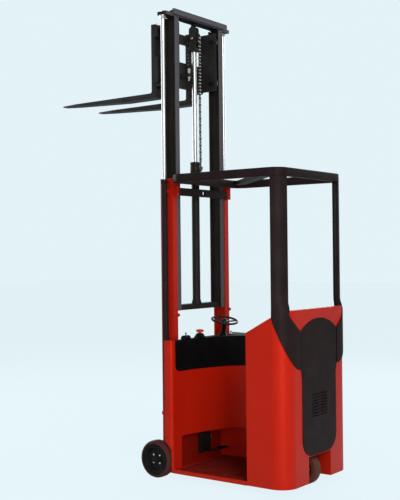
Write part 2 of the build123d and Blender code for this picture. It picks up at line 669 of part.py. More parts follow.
# Rear cover with its louvres
with BuildPart() as cover:
    with BuildSketch(Plane.XZ.offset(-BODY_REAR_Y)) as cover_face:
        with BuildLine():
            taper_z = COVER_WAIST_Z - COVER_TAPER
            right_shoulder = (COVER_SHOULDER_HALF, COVER_SHOULDER_Z)
            left_shoulder = (-COVER_SHOULDER_HALF, COVER_SHOULDER_Z)
            Polyline(right_shoulder, (COVER_SHOULDER_HALF, COVER_WAIST_Z), (COVER_HALF, taper_z),
                     (COVER_HALF, COVER_BOTTOM_Z), (-COVER_HALF, COVER_BOTTOM_Z), (-COVER_HALF, taper_z),
                     (-COVER_SHOULDER_HALF, COVER_WAIST_Z), left_shoulder)
            ThreePointArc(left_shoulder, (0, COVER_TOP_Z), right_shoulder)
        make_face()
        fillet(cover_face.vertices().group_by(Axis.Y)[0], radius=COVER_CORNER_R)
    extrude(amount=COVER_THICK)
    fillet(cover.faces().sort_by(Axis.Y)[0].edges(), radius=COVER_EDGE_R)
    with Locations((0, BODY_REAR_Y - COVER_THICK / 2, LOUVRE_MID_Z)):
        with GridLocations(2 * LOUVRE_COLUMN_X, 1, 2, 1):
            for row in range(LOUVRE_ROWS):
                row_z = (row - (LOUVRE_ROWS - 1) / 2) * LOUVRE_PITCH
                with Locations((0, 0, row_z)):
                    Box(LOUVRE_LENGTH, COVER_THICK + 2, LOUVRE_SLOT, mode=Mode.SUBTRACT)
                with Locations((0, -COVER_THICK / 2, row_z + LOUVRE_SLOT / 2 + LOUVRE_HOOD / 2)):
                    Box(LOUVRE_LENGTH, 2 * LOUVRE_REACH, LOUVRE_HOOD)
save(cover.part, "rear_cover")


def band(z, centre, outer_r, thickness, start, sweep):
    """Plan section of a bent plate at a height: a ring sector about a centre, angles in degrees."""
    with BuildSketch(Plane.XY.offset(z)) as section:
        with BuildLine():
            outer = CenterArc(centre, outer_r, start, sweep)
            inner = CenterArc(centre, outer_r - thickness, start, sweep)
            Line(outer @ 0, inner @ 0)
            Line(outer @ 1, inner @ 1)
        make_face()
    return section.sketch.face()


# Guard posts: bent plates under the guard's rear corners, flaring over the shell down to the cover
flare_skin = shell_block(-FLARE_THICK, JAMB_Y + 20, BODY_BOTTOM_Z)
foot_centre = (-BODY_HALF + REAR_CORNER_R, BODY_REAR_Y + REAR_CORNER_R)
foot_r = REAR_CORNER_R + FLARE_THICK
foot_low_z = REAR_TOP_Z - FOOT_DROP
foot_top_z = REAR_TOP_Z + FOOT_RISE
foot_front_y = foot_centre[1] + foot_r * sin(radians(FOOT_START))
foot_in_x = foot_centre[0] + foot_r * cos(radians(FOOT_START + FOOT_SWEEP))
post_centre = (-guard_half + GUARD_CORNER_R, GUARD_REAR_Y + GUARD_CORNER_R)
seam_x = -COVER_SHOULDER_HALF - COVER_SEAM
with BuildPart() as left_post:
    flare_rear_y = BODY_REAR_Y - FLARE_THICK - 1
    with BuildSketch(Plane.XZ.offset(-flare_rear_y)):
        with BuildLine():
            edge = [(-BODY_HALF - outset, REAR_TOP_Z - drop) for outset, drop in FLARE_EDGE]
            Spline(*edge, (seam_x, COVER_WAIST_Z))
            Polyline((seam_x, COVER_WAIST_Z), (seam_x, COVER_SHOULDER_Z), (foot_in_x, foot_low_z), edge[0])
        make_face()
    extrude(amount=flare_rear_y - foot_front_y)
    add(flare_skin, mode=Mode.INTERSECT)
    post_low = band(foot_top_z, post_centre, GUARD_CORNER_R, POST_THICK, POST_START, POST_SWEEP)
    foot_low = band(foot_low_z, foot_centre, foot_r, FOOT_THICK, FOOT_START, FOOT_SWEEP)
    loft([foot_low, post_low])
    extrude(post_low, amount=rail_low_z - foot_top_z)
    add(envelope, mode=Mode.SUBTRACT)
save(left_post.part, "guard_post_left")
save(mirror(left_post.part, about=Plane.YZ), "guard_post_right")

# Overhead guard: one welded loop with a diagonal bar
with BuildPart() as guard:
    guard_mid_y = (guard_front_y + GUARD_REAR_Y) / 2
    guard_length = guard_front_y - GUARD_REAR_Y
    with BuildSketch(Plane.XY.offset(rail_low_z)):
        with Locations((0, guard_mid_y)):
            RectangleRounded(2 * guard_half, guard_length, GUARD_CORNER_R)
            inside_size = (2 * (guard_half - RAIL_WIDTH), guard_length - 2 * RAIL_WIDTH)
            RectangleRounded(*inside_size, GUARD_CORNER_R - RAIL_WIDTH, mode=Mode.SUBTRACT)
    extrude(amount=RAIL_HEIGHT)
    with BuildSketch(Plane.XY.offset(GUARD_TOP_Z - 8 - DIAGONAL_HEIGHT)):
        inside_x = guard_half - RAIL_WIDTH + 4
        with BuildLine():
            corner_run = 1.4 * RAIL_WIDTH
            front_in_y = guard_front_y - RAIL_WIDTH + 4
            rear_in_y = GUARD_REAR_Y + RAIL_WIDTH - 4
            Polyline((inside_x, front_in_y - corner_run), (inside_x, front_in_y),
                     (inside_x - corner_run, front_in_y), (-inside_x, rear_in_y + corner_run),
                     (-inside_x, rear_in_y), (-inside_x + corner_run, rear_in_y), close=True)
        make_face()
    extrude(amount=DIAGONAL_HEIGHT)
    add(guard.part.solids().sort_by(SortBy.VOLUME)[-1], mode=Mode.REPLACE)
save(guard.part, "overhead_guard")


head_roller_x = (inner_web_x + INNER_WEB / 2 + 1.5, inner_out_x - 1.5)
head_roller_z = outer_top_z - 45
mast_roller_z = inner_low_z + 52


def outer_upright(side):
    """Outer mast channel, open inwards, with the foot and clamp of the side cylinder."""
    with BuildPart() as upright:
        with BuildSketch(Plane.XY.offset(OUTER_BOTTOM_Z)) as section:
            with Locations((side * (mast_half - OUTER_FLANGE / 2), mast_y)):
                Rectangle(OUTER_FLANGE, OUTER_DEPTH)
            hollow_x = OUTER_FLANGE - OUTER_WEB
            with Locations((side * (outer_tip_x + hollow_x / 2), mast_y)):
                Rectangle(hollow_x, OUTER_DEPTH - 2 * OUTER_FLANGE_THICK, mode=Mode.SUBTRACT)
            web_in_x = mast_half - OUTER_WEB
            inner_corners = [v for v in section.vertices() if abs(abs(v.X) - web_in_x) < 0.01]
            fillet(inner_corners, radius=OUTER_WEB / 2)
        extrude(amount=outer_top_z - OUTER_BOTTOM_Z)
        lug_x = sorted((side * mast_half, side * (side_cylinder_x + SIDE_BARREL_R)))
        lug_top_z = SIDE_FOOT_Z + FOOT_PLATE
        box_between((lug_x[0], mast_y - LUG_HALF, SIDE_FOOT_Z), (lug_x[1], mast_y + LUG_HALF, lug_top_z))
        clamp_z = outer_top_z - CLAMP_DROP
        clamp_top_z = clamp_z + CLAMP_HEIGHT
        clamp_x = sorted((side * mast_half, side * side_cylinder_x))
        clamp_low = (clamp_x[0], mast_y - CLAMP_HALF, clamp_z)
        box_between(clamp_low, (clamp_x[1], mast_y + CLAMP_HALF, clamp_top_z))
        saddle_r = SIDE_BARREL_R + CLAMP_PLAY
        saddle_x = side * side_cylinder_x
        rod_along_z(saddle_x, mast_y, clamp_z - 1, clamp_top_z + 1, saddle_r, mode=Mode.SUBTRACT)
        stub_root_x = web_in_x + 1
        rod_along_x(mast_y, head_roller_z, side * head_roller_x[0], side * stub_root_x, STUB_R)
        rod_along_x(mast_y, head_roller_z, side * (outer_tip_x + 6), side * stub_root_x, STUB_R + 8)
    return upright.part


def inner_upright(side):
    """Inner mast rail of I section: one groove faces the outer mast, one the carriage."""
    with BuildPart() as rail:
        with BuildSketch(Plane.XY.offset(inner_low_z)):
            with Locations((side * inner_web_x, mast_y)):
                Rectangle(INNER_FLANGE, INNER_DEPTH)
            groove = (INNER_FLANGE - INNER_WEB) / 2
            outer_groove = (side * (inner_out_x - groove / 2), mast_y)
            inner_groove = (side * (inner_in_x + groove / 2), mast_y)
            with Locations(outer_groove, inner_groove):
                Rectangle(groove, INNER_DEPTH - 2 * INNER_FLANGE_THICK, mode=Mode.SUBTRACT)
        extrude(amount=inner_top_z - inner_low_z)
        stub_in_x = inner_web_x + INNER_WEB / 2 - 1
        stub_out_x = mast_half - OUTER_WEB - 3
        rod_along_x(mast_y, mast_roller_z, side * stub_in_x, side * stub_out_x, STUB_R)
    return rail.part


barrel_low_z = SIDE_FOOT_Z + FOOT_PLATE
barrel_top_z = outer_top_z - 8


def side_barrel(side):
    """Side lift cylinder's tube with its closed foot and its gland."""
    with BuildPart() as barrel:
        x = side * side_cylinder_x
        gland_low_z = barrel_top_z - SIDE_GLAND_LENGTH
        bore_low_z = barrel_low_z + BARREL_FOOT
        rod_along_z(x, mast_y, barrel_low_z, gland_low_z, SIDE_BARREL_R)
        rod_along_z(x, mast_y, gland_low_z, barrel_top_z, SIDE_GLAND_R)
        trim_x = sorted((side * mast_half, side * (mast_half - SIDE_GLAND_R)))
        trim_low = (trim_x[0], mast_y - 2 * SIDE_GLAND_R, barrel_low_z)
        box_between(trim_low, (trim_x[1], mast_y + 2 * SIDE_GLAND_R, barrel_top_z), mode=Mode.SUBTRACT)
        rod_along_z(x, mast_y, bore_low_z, gland_low_z, SIDE_BORE_R, mode=Mode.SUBTRACT)
        rod_along_z(x, mast_y, bore_low_z, barrel_top_z + 1, SIDE_ROD_R + ROD_PLAY, mode=Mode.SUBTRACT)
    return barrel.part


def side_rod(side):
    """Chromed rod with its piston, from inside the barrel up to the inner mast's end plate."""
    with BuildPart() as rod:
        x = side * side_cylinder_x
        piston_z = barrel_top_z - SIDE_GLAND_LENGTH - 30 - PISTON_LENGTH
        rod_along_z(x, mast_y, piston_z, inner_top_z, SIDE_ROD_R)
        rod_along_z(x, mast_y, piston_z, piston_z + PISTON_LENGTH, SIDE_BORE_R - ROD_PLAY)
    return rod.part


for side, word in ((-1, "left"), (1, "right")):
    save(outer_upright(side), f"outer_upright_{word}")
    save(inner_upright(side), f"inner_upright_{word}")
    save(side_barrel(side), f"side_barrel_{word}")
    save(side_rod(side), f"side_rod_{word}")

# Head bar across the back of the outer mast, with the lifting eye and the guard's brackets
with BuildPart() as head_bar:
    head_rear_y = guard_front_y
    head_front_y = MAST_REAR_Y - HEAD_BAR_SETBACK
    head_low_z = rail_low_z - 28 - HEAD_BAR_HEIGHT
    head_half = mast_half - 2
    head_top_z = head_low_z + HEAD_BAR_HEIGHT
    box_between((-head_half, head_rear_y, head_low_z), (head_half, head_front_y, head_top_z))
    for side in (-1, 1):
        bracket_x = sorted((side * (outer_tip_x + 3), side * head_half))
        bracket_high = (bracket_x[1], MAST_REAR_Y, GUARD_TOP_Z - 6)
        box_between((bracket_x[0], head_rear_y, head_low_z - 5), bracket_high)
    with Locations((0, head_rear_y, head_low_z + HEAD_BAR_HEIGHT / 2)):
        Cylinder(LIFTING_EYE_R, 80, rotation=(90, 0, 0), mode=Mode.SUBTRACT)
save(head_bar.part, "mast_head_bar")

# Inner mast's bottom bar between the webs, inside the carriage grooves
with BuildPart() as bottom_bar:
    bar_half = inner_web_x - INNER_WEB / 2
    bar_y = INNER_DEPTH / 2 - INNER_FLANGE_THICK - 3
    box_between((-bar_half, mast_y - bar_y, inner_low_z), (bar_half, mast_y + bar_y, free_base_z))
save(bottom_bar.part, "inner_bottom_bar")

# Inner mast's top bar: an angle across the back and a plate out to each side rod
with BuildPart() as top_bar:
    angle_low_z = inner_top_z + 6
    angle_top_z = angle_low_z + TOP_BAR_HEIGHT
    flat_front_y = inner_rear_y + TOP_BAR_HEIGHT
    upright_low = (-inner_out_x, inner_rear_y - ANGLE_LEG, angle_low_z)
    flat_low = (-inner_out_x, inner_rear_y - 1, angle_top_z - ANGLE_LEG)
    box_between(upright_low, (inner_out_x, inner_rear_y, angle_top_z))
    box_between(flat_low, (inner_out_x, flat_front_y, angle_top_z))
    for side in (-1, 1):
        plate_x = sorted((side * inner_in_x, side * (side_cylinder_x + SIDE_BARREL_R)))
        plate_high = (plate_x[1], mast_y + TOP_PLATE_REACH, inner_top_z + TOP_PLATE)
        box_between((plate_x[0], inner_rear_y, inner_top_z), plate_high)
save(top_bar.part, "inner_top_bar")

# Free-lift cylinder
with BuildPart() as free_barrel:
    rod_along_z(0, mast_y, free_base_z, free_barrel_top_z, FREE_BARREL_R)
    with Locations((0, mast_y, free_base_z + 16)):
        Cone(FREE_BARREL_R + 8, FREE_BARREL_R, 32)
    rod_along_z(0, mast_y, free_base_z + 24, free_barrel_top_z + 1, FREE_BORE_R, mode=Mode.SUBTRACT)
save(free_barrel.part, "free_lift_barrel")

with BuildPart() as gland:
    rod_along_z(0, mast_y, free_barrel_top_z, gland_top_z, GLAND_R)
    groove_z = free_barrel_top_z + GLAND_LENGTH * 0.62
    with BuildSketch(Plane.XY.offset(groove_z)):
        with Locations((0, mast_y)):
            Circle(GLAND_R + 1)
            Circle(GLAND_R - 4, mode=Mode.SUBTRACT)
    extrude(amount=6, mode=Mode.SUBTRACT)
    strut_z = free_barrel_top_z + 22
    box_between((-16, rear_strand_y - 8, strut_z), (16, mast_y - GLAND_R + 8, strut_z + 22))
    rod_along_z(0, rear_strand_y, strut_z - 18, gland_top_z + 8, 6)
    rod_along_z(0, mast_y, free_barrel_top_z - 1, gland_top_z + 1, FREE_ROD_R + ROD_PLAY, mode=Mode.SUBTRACT)
save(gland.part, "free_lift_gland")

with BuildPart() as free_rod:
    piston_z = free_barrel_top_z - 20 - PISTON_LENGTH
    rod_along_z(0, mast_y, piston_z, crosshead_z, FREE_ROD_R)
    rod_along_z(0, mast_y, piston_z, piston_z + PISTON_LENGTH, FREE_BORE_R - ROD_PLAY)
save(free_rod.part, "free_lift_rod")

# Crosshead: base, two cheeks with round tops, and the sheave's pin
cheek_in_x = SHEAVE_WIDTH / 2 + 2
cheek_out_x = cheek_in_x + CHEEK
cheek_rear_y = mast_y - CHEEK_HALF
cheek_front_y = mast_y + CHEEK_HALF
cheek_round_z = sheave_z + CHEEK_RISE
with BuildPart() as crosshead:
    base_high = (cheek_out_x, cheek_front_y, crosshead_z + CROSSHEAD_BASE)
    box_between((-cheek_out_x, cheek_rear_y, crosshead_z), base_high)
    for side in (-1, 1):
        with BuildSketch(Plane.YZ.offset(side * cheek_in_x)):
            with BuildLine():
                Polyline((cheek_rear_y, cheek_round_z), (cheek_rear_y, crosshead_z),
                         (cheek_front_y, crosshead_z), (cheek_front_y, cheek_round_z))
                CenterArc((mast_y, cheek_round_z), CHEEK_HALF, 0, 180)
            make_face()
        extrude(amount=side * CHEEK)
    rod_along_x(mast_y, sheave_z, -cheek_out_x - PIN_END, cheek_out_x + PIN_END, SHEAVE_PIN_R)
save(crosshead.part, "crosshead")

sheave_root_r = SHEAVE_PITCH_R - CHAIN_HEIGHT / 2 - CHAIN_GAP
with BuildPart() as sheave:
    rod_along_x(mast_y, sheave_z, -SHEAVE_WIDTH / 2, SHEAVE_WIDTH / 2, SHEAVE_PITCH_R + 4)
    groove_half = CHAIN_WIDTH / 2 + 1
    with BuildSketch(Plane.YZ.offset(-groove_half)):
        with Locations((mast_y, sheave_z)):
            Circle(SHEAVE_PITCH_R + 5)
            Circle(sheave_root_r, mode=Mode.SUBTRACT)
    extrude(amount=2 * groove_half, mode=Mode.SUBTRACT)
    rod_along_x(mast_y, sheave_z, -SHEAVE_WIDTH, SHEAVE_WIDTH, SHEAVE_PIN_R + AXLE_PLAY, mode=Mode.SUBTRACT)
save(sheave.part, "chain_sheave")


def chain_strand(y, low_z, high_z):
    """Straight leaf-chain strand: overlapping link plates with a waist between each pair of pins."""
    links = round((high_z - low_z) / CHAIN_PITCH)
    pitch = (high_z - low_z) / links
    with BuildPart() as strand:
        waist = CHAIN_HEIGHT * 0.32
        reach = CHAIN_HEIGHT / 2
        eye = pitch * 0.36
        box_between((-CHAIN_WIDTH / 2, y - waist, low_z), (CHAIN_WIDTH / 2, y + waist, high_z))
        for link in range(links):
            pin_z = low_z + (link + 0.5) * pitch
            half_x = CHAIN_WIDTH / 2 - (0 if link % 2 else CHAIN_PLATE)
            box_between((-half_x, y - reach, pin_z - eye), (half_x, y + reach, pin_z + eye))
    return strand.part


save(chain_strand(rear_strand_y, gland_top_z + 8, sheave_z - CHAIN_GAP), "chain_rear")
save(chain_strand(front_strand_y, anchor_z + 66, sheave_z - CHAIN_GAP), "chain_front")

with BuildPart() as chain_wrap:
    with BuildSketch(Plane.YZ.offset(-CHAIN_WIDTH / 2)):
        with Locations((mast_y, sheave_z)):
            Circle(SHEAVE_PITCH_R + CHAIN_HEIGHT / 2)
            Circle(SHEAVE_PITCH_R - CHAIN_HEIGHT / 2, mode=Mode.SUBTRACT)
        with Locations((mast_y, sheave_z - SHEAVE_PITCH_R)):
            Rectangle(4 * SHEAVE_PITCH_R, 2 * SHEAVE_PITCH_R, mode=Mode.SUBTRACT)
    extrude(amount=CHAIN_WIDTH)
save(chain_wrap.part, "chain_wrap")

# Fork carriage: two side plates, two bars and the chain bracket
plate_out_x = inner_in_x - 11
carriage_roller_x = (inner_in_x + 1.5, inner_in_x + 1.5 + ROLLER_W)
with BuildPart() as carriage:
    for side in (-1, 1):
        plate_x = sorted((side * plate_out_x, side * (plate_out_x - CARRIAGE_PLATE)))
        box_between((plate_x[0], inner_rear_y + 12, carriage_low_z), (plate_x[1], BAR_REAR_Y, carriage_top_z))
        notch_in_x = plate_x[0] - 1
        notch_out_x = plate_x[1] + 1
        notch_rear_y = BAR_REAR_Y - FORK_HOOK
        upper_notch = (notch_in_x, notch_rear_y, upper_bar_z + UPPER_BAR - HOOK_ROOM)
        lower_notch = (notch_in_x, notch_rear_y, carriage_low_z - 1)
        box_between(upper_notch, (notch_out_x, BAR_REAR_Y, carriage_top_z + 1), mode=Mode.SUBTRACT)
        box_between(lower_notch, (notch_out_x, BAR_REAR_Y, lower_bar_z + HOOK_ROOM), mode=Mode.SUBTRACT)
        for roller_z in (lower_roller_z, upper_roller_z):
            rod_along_x(mast_y, roller_z, side * (plate_out_x - 1), side * carriage_roller_x[1], STUB_R)
    for bar_z, bar_height in ((upper_bar_z, UPPER_BAR), (lower_bar_z, LOWER_BAR)):
        box_between((-carriage_half, BAR_REAR_Y, bar_z), (carriage_half, bar_front_y, bar_z + bar_height))
    box_between((-22, front_strand_y - 12, anchor_z), (22, BAR_REAR_Y + 1, anchor_z + 24))
    rod_along_z(0, front_strand_y, anchor_z - 1, anchor_z + 25, ANCHOR_R + CLAMP_PLAY, mode=Mode.SUBTRACT)
save(carriage.part, "carriage_frame")

with BuildPart() as anchor:
    rod_along_z(0, front_strand_y, anchor_z - 30, anchor_z + 66, ANCHOR_R)
    for nut_z in (anchor_z - 14, anchor_z + 24):
        with BuildSketch(Plane.XY.offset(nut_z)):
            with Locations((0, front_strand_y)):
                RegularPolygon(10.4, 6)
        extrude(amount=14)
save(anchor.part, "chain_anchor")


def roller_pair(z, in_x, out_x, radius):
    """Left and right roller on one axis across the mast."""
    with BuildPart() as rollers:
        for side in (-1, 1):
            rod_along_x(mast_y, z, side * in_x, side * out_x, radius)
            bore = STUB_R + AXLE_PLAY
            rod_along_x(mast_y, z, side * (in_x - 1), side * (out_x + 1), bore, mode=Mode.SUBTRACT)
    return rollers.part


save(roller_pair(lower_roller_z, *carriage_roller_x, inner_roller_r), "carriage_rollers_lower")
save(roller_pair(upper_roller_z, *carriage_roller_x, inner_roller_r), "carriage_rollers_upper")
mast_roller_x = (outer_tip_x + 3, mast_half - OUTER_WEB - 5)
save(roller_pair(mast_roller_z, *mast_roller_x, outer_roller_r), "inner_mast_rollers")
save(roller_pair(head_roller_z, *head_roller_x, inner_roller_r), "outer_mast_rollers")


def fork(side):
    """Hook-on fork: shank, tapered blade and two hooks behind the carriage bars."""
    mid_x = side * FORK_SPREAD / 2
    shank_top_z = upper_bar_z + UPPER_BAR + FORK_HOOK + FORK_HEAD
    blade_low_z = fork_top_z - FORK_THICK
    with BuildPart() as arm:
        with BuildSketch(Plane.YZ.offset(mid_x - FORK_WIDTH / 2)) as outline:
            with BuildLine():
                taper_y = shank_front_y + FORK_LENGTH * 0.3
                Polyline((shank_rear_y, shank_top_z), (shank_rear_y, blade_low_z), (taper_y, blade_low_z),
                         (fork_tip_y, fork_top_z - FORK_TIP_THICK), (fork_tip_y, fork_top_z),
                         (shank_front_y, fork_top_z), (shank_front_y, shank_top_z), close=True)
            make_face()
            rear_corners = [v for v in outline.vertices() if abs(v.X - shank_rear_y) < 0.01]
            front_corners = [v for v in outline.vertices() if abs(v.X - shank_front_y) < 0.01]
            heel = min(rear_corners, key=lambda v: v.Y)
            crook = min(front_corners, key=lambda v: v.Y)
            fillet(heel, radius=FORK_THICK * 0.8)
            fillet(crook, radius=FORK_THICK * 0.4)
        extrude(amount=FORK_WIDTH)
        for edge in (-1, 1):
            with BuildSketch(Plane.XY.offset(blade_low_z - 1)):
                with BuildLine():
                    edge_x = mid_x + edge * FORK_WIDTH / 2
                    tip_x = mid_x + edge * FORK_TIP_WIDTH / 2
                    run_y = fork_tip_y - FORK_TIP_RUN
                    Polyline((edge_x, run_y), (tip_x, fork_tip_y), (edge_x, fork_tip_y), close=True)
                make_face()
            extrude(amount=FORK_THICK + 2, mode=Mode.SUBTRACT)
        left_x = mid_x - FORK_WIDTH / 2
        right_x = mid_x + FORK_WIDTH / 2
        hook_rear_y = BAR_REAR_Y - FORK_PLAY - FORK_HOOK * 0.7
        claw_y = BAR_REAR_Y - FORK_PLAY
        root_y = shank_rear_y + 1
        upper_z = upper_bar_z + UPPER_BAR
        hook_top_z = upper_z + FORK_HOOK
        hook_low_z = lower_bar_z - FORK_HOOK
        box_between((left_x, hook_rear_y, upper_z + FORK_PLAY), (right_x, root_y, hook_top_z))
        box_between((left_x, hook_rear_y, upper_z - FORK_HOOK), (right_x, claw_y, hook_top_z))
        box_between((left_x, hook_rear_y, hook_low_z), (right_x, root_y, lower_bar_z - FORK_PLAY))
        box_between((left_x, hook_rear_y, hook_low_z), (right_x, claw_y, lower_bar_z + FORK_HOOK))
    return arm.part


save(fork(-1), "fork_left")
save(fork(1), "fork_right")


def load_tyre(side):
    """Solid load-wheel tyre with round shoulders."""
    with BuildPart() as tyre:
        with BuildSketch(Plane.XZ) as section:
            with Locations((side * wheel_mid_x, LOAD_WHEEL_R + (LOAD_RIM_R + LOAD_WHEEL_R) / 2)):
                Rectangle(LOAD_WHEEL_W, LOAD_WHEEL_R - LOAD_RIM_R)
            chamfer(section.vertices().group_by(Axis.Y)[-1], length=TYRE_SHOULDER)
            steps = section.vertices().group_by(Axis.Y)
            chamfer([*steps[-1], *steps[-2]], length=TYRE_SHOULDER / 4)
        revolve(axis=Axis((0, 0, LOAD_WHEEL_R), (1, 0, 0)))
    return tyre.part


def load_rim(side):
    """Dished rim with its hub on the stub axle and four bolt bosses."""
    with BuildPart() as rim:
        barrel_half = LOAD_WHEEL_W / 2 - 3
        with BuildSketch(Plane.XZ):
            with BuildLine():
                axis_z = LOAD_WHEEL_R
                out_x = wheel_mid_x + barrel_half
                face_x = out_x - RIM_DISH
                back_x = face_x - RIM_DISC
                in_x = wheel_mid_x - barrel_half
                bore = AXLE_R + AXLE_PLAY
                points = [(in_x, bore), (out_x - 8, bore), (out_x - 8, RIM_HUB_R), (face_x, RIM_HUB_R + 4),
                          (face_x, LOAD_RIM_R - 18), (out_x, LOAD_RIM_R - 8), (out_x, LOAD_RIM_R),
                          (in_x, LOAD_RIM_R), (in_x, LOAD_RIM_R - 10), (back_x, LOAD_RIM_R - 16),
                          (back_x, RIM_HUB_R), (in_x, RIM_HUB_R)]
                Polyline(*[(side * x, axis_z + r) for x, r in points], close=True)
            make_face()
        revolve(axis=Axis((0, 0, LOAD_WHEEL_R), (1, 0, 0)))
        face_middle = (side * (face_x + RIM_BOSS / 2 - 1), 0, LOAD_WHEEL_R)
        with Locations(Plane(face_middle, x_dir=(0, 1, 0), z_dir=(side, 0, 0))):
            with PolarLocations(RIM_HUB_R + 18, 4, start_angle=45):
                Cylinder(RIM_BOSS_R, RIM_BOSS)
        rod_along_x(0, LOAD_WHEEL_R, side * (wheel_out_x - 11), side * (wheel_out_x - 4), RIM_HUB_R - 8)
    return rim.part


for side, word in ((-1, "left"), (1, "right")):
    save(load_tyre(side), f"load_tyre_{word}")
    save(load_rim(side), f"load_rim_{word}")

# Drive wheel, its tyre, and the steered drive unit
with BuildPart() as drive_tyre:
    with BuildSketch(Plane.XZ.offset(-drive_y)) as section:
        with Locations((0, DRIVE_WHEEL_R + (DRIVE_HUB_R + DRIVE_WHEEL_R) / 2)):
            Rectangle(DRIVE_WHEEL_W, DRIVE_WHEEL_R - DRIVE_HUB_R)
        chamfer(section.vertices().group_by(Axis.Y)[-1], length=DRIVE_SHOULDER)
    revolve(axis=Axis((0, drive_y, DRIVE_WHEEL_R), (1, 0, 0)))
save(drive_tyre.part, "drive_tyre")

with BuildPart() as drive_hub:
    hub_half = DRIVE_WHEEL_W / 2 - 2
    dish_x = -hub_half + HUB_DISH
    bore_r = DRIVE_AXLE_R + AXLE_PLAY
    rod_along_x(drive_y, DRIVE_WHEEL_R, -hub_half, hub_half, DRIVE_HUB_R)
    rod_along_x(drive_y, DRIVE_WHEEL_R, -hub_half - 1, dish_x, DRIVE_HUB_R - HUB_WALL, mode=Mode.SUBTRACT)
    rod_along_x(drive_y, DRIVE_WHEEL_R, -hub_half, dish_x, DRIVE_AXLE_R + HUB_WALL)
    rod_along_x(drive_y, DRIVE_WHEEL_R, -hub_half - 1, hub_half + 1, bore_r, mode=Mode.SUBTRACT)
save(drive_hub.part, "drive_hub")

turn_r = TURNTABLE_R - TURNTABLE_PLAY
case_in_x = DRIVE_WHEEL_W / 2 + 4
case_out_x = case_in_x + CASE_DEPTH
with BuildPart() as yoke:
    disc_low_z = 2 * DRIVE_WHEEL_R + 6
    disc_top_z = DRIVE_PLATE_Z + DRIVE_PLATE + TURNTABLE_PLAY
    rod_along_z(0, drive_y, disc_low_z, disc_top_z, turn_r)
    rod_along_z(0, drive_y, disc_top_z, disc_top_z + TURNTABLE_FLANGE, TURNTABLE_R + TURNTABLE_LIP)
    with BuildSketch(Plane.YZ.offset(case_in_x)):
        with Locations((drive_y, DRIVE_WHEEL_R)):
            Circle(CASE_R)
        with Locations((drive_y, (DRIVE_WHEEL_R + disc_low_z + 10) / 2)):
            Rectangle(CASE_NECK, disc_low_z + 10 - DRIVE_WHEEL_R)
    extrude(amount=case_out_x - case_in_x)
    rod_along_x(drive_y, DRIVE_WHEEL_R, -DRIVE_WHEEL_W / 2 + 4, case_in_x, DRIVE_AXLE_R)
save(yoke.part, "drive_yoke")

with BuildPart() as motor:
    motor_low_z = disc_top_z + TURNTABLE_FLANGE
    motor_top_z = motor_low_z + MOTOR_LENGTH
    rod_along_z(0, drive_y, motor_low_z, motor_top_z, MOTOR_R)
    rod_along_z(0, drive_y, motor_top_z, motor_top_z + BRAKE_LENGTH, BRAKE_R)
    chamfer(motor.edges().group_by(Axis.Z)[-1], length=BRAKE_R / 8)
    with Locations((0, drive_y, (motor_low_z + motor_top_z) / 2)):
        with PolarLocations(MOTOR_R, MOTOR_FINS):
            Box(2 * MOTOR_FIN, MOTOR_FIN / 2, MOTOR_LENGTH * 0.7)
save(motor.part, "drive_motor")

# Pump unit: oil tank with the pump motor on top, standing on the floor at the left
with BuildPart() as pump:
    tank_left_x = -panel_in_x + TANK_INSET
    tank_right_x = -plate_half - TANK_GAP
    tank_x = (tank_left_x + tank_right_x) / 2
    tank_y = drive_y + TANK_FORWARD
    tank_top_z = FLOOR_Z + TANK_HEIGHT
    with Locations((tank_x, tank_y, (FLOOR_Z + tank_top_z) / 2)):
        Box(tank_right_x - tank_left_x, TANK_DEPTH, TANK_HEIGHT)
    fillet(pump.edges().filter_by(Axis.Z), radius=TANK_CORNER_R)
    rod_along_z(tank_x, tank_y, tank_top_z, tank_top_z + PUMP_FLANGE, PUMP_R + PUMP_LIP)
    rod_along_z(tank_x, tank_y, tank_top_z + PUMP_FLANGE, tank_top_z + PUMP_FLANGE + PUMP_LENGTH, PUMP_R)
save(pump.part, "pump_unit")

with BuildPart() as controller:
    rear_of_wall_y = JAMB_Y - SHEET - 2
    fin_pitch = CONTROLLER_WIDTH / (CONTROLLER_FINS + 2)
    with Locations((CONTROLLER_X, rear_of_wall_y - CONTROLLER_DEPTH / 2, CONTROLLER_Z)):
        Box(CONTROLLER_WIDTH, CONTROLLER_DEPTH, CONTROLLER_HEIGHT)
    with Locations((CONTROLLER_X, rear_of_wall_y - CONTROLLER_DEPTH, CONTROLLER_Z)):
        with GridLocations(fin_pitch, 1, CONTROLLER_FINS, 1):
            Box(fin_pitch * 0.4, CONTROLLER_DEPTH * 0.4, CONTROLLER_HEIGHT * 0.92, mode=Mode.SUBTRACT)
save(controller.part, "motor_controller")

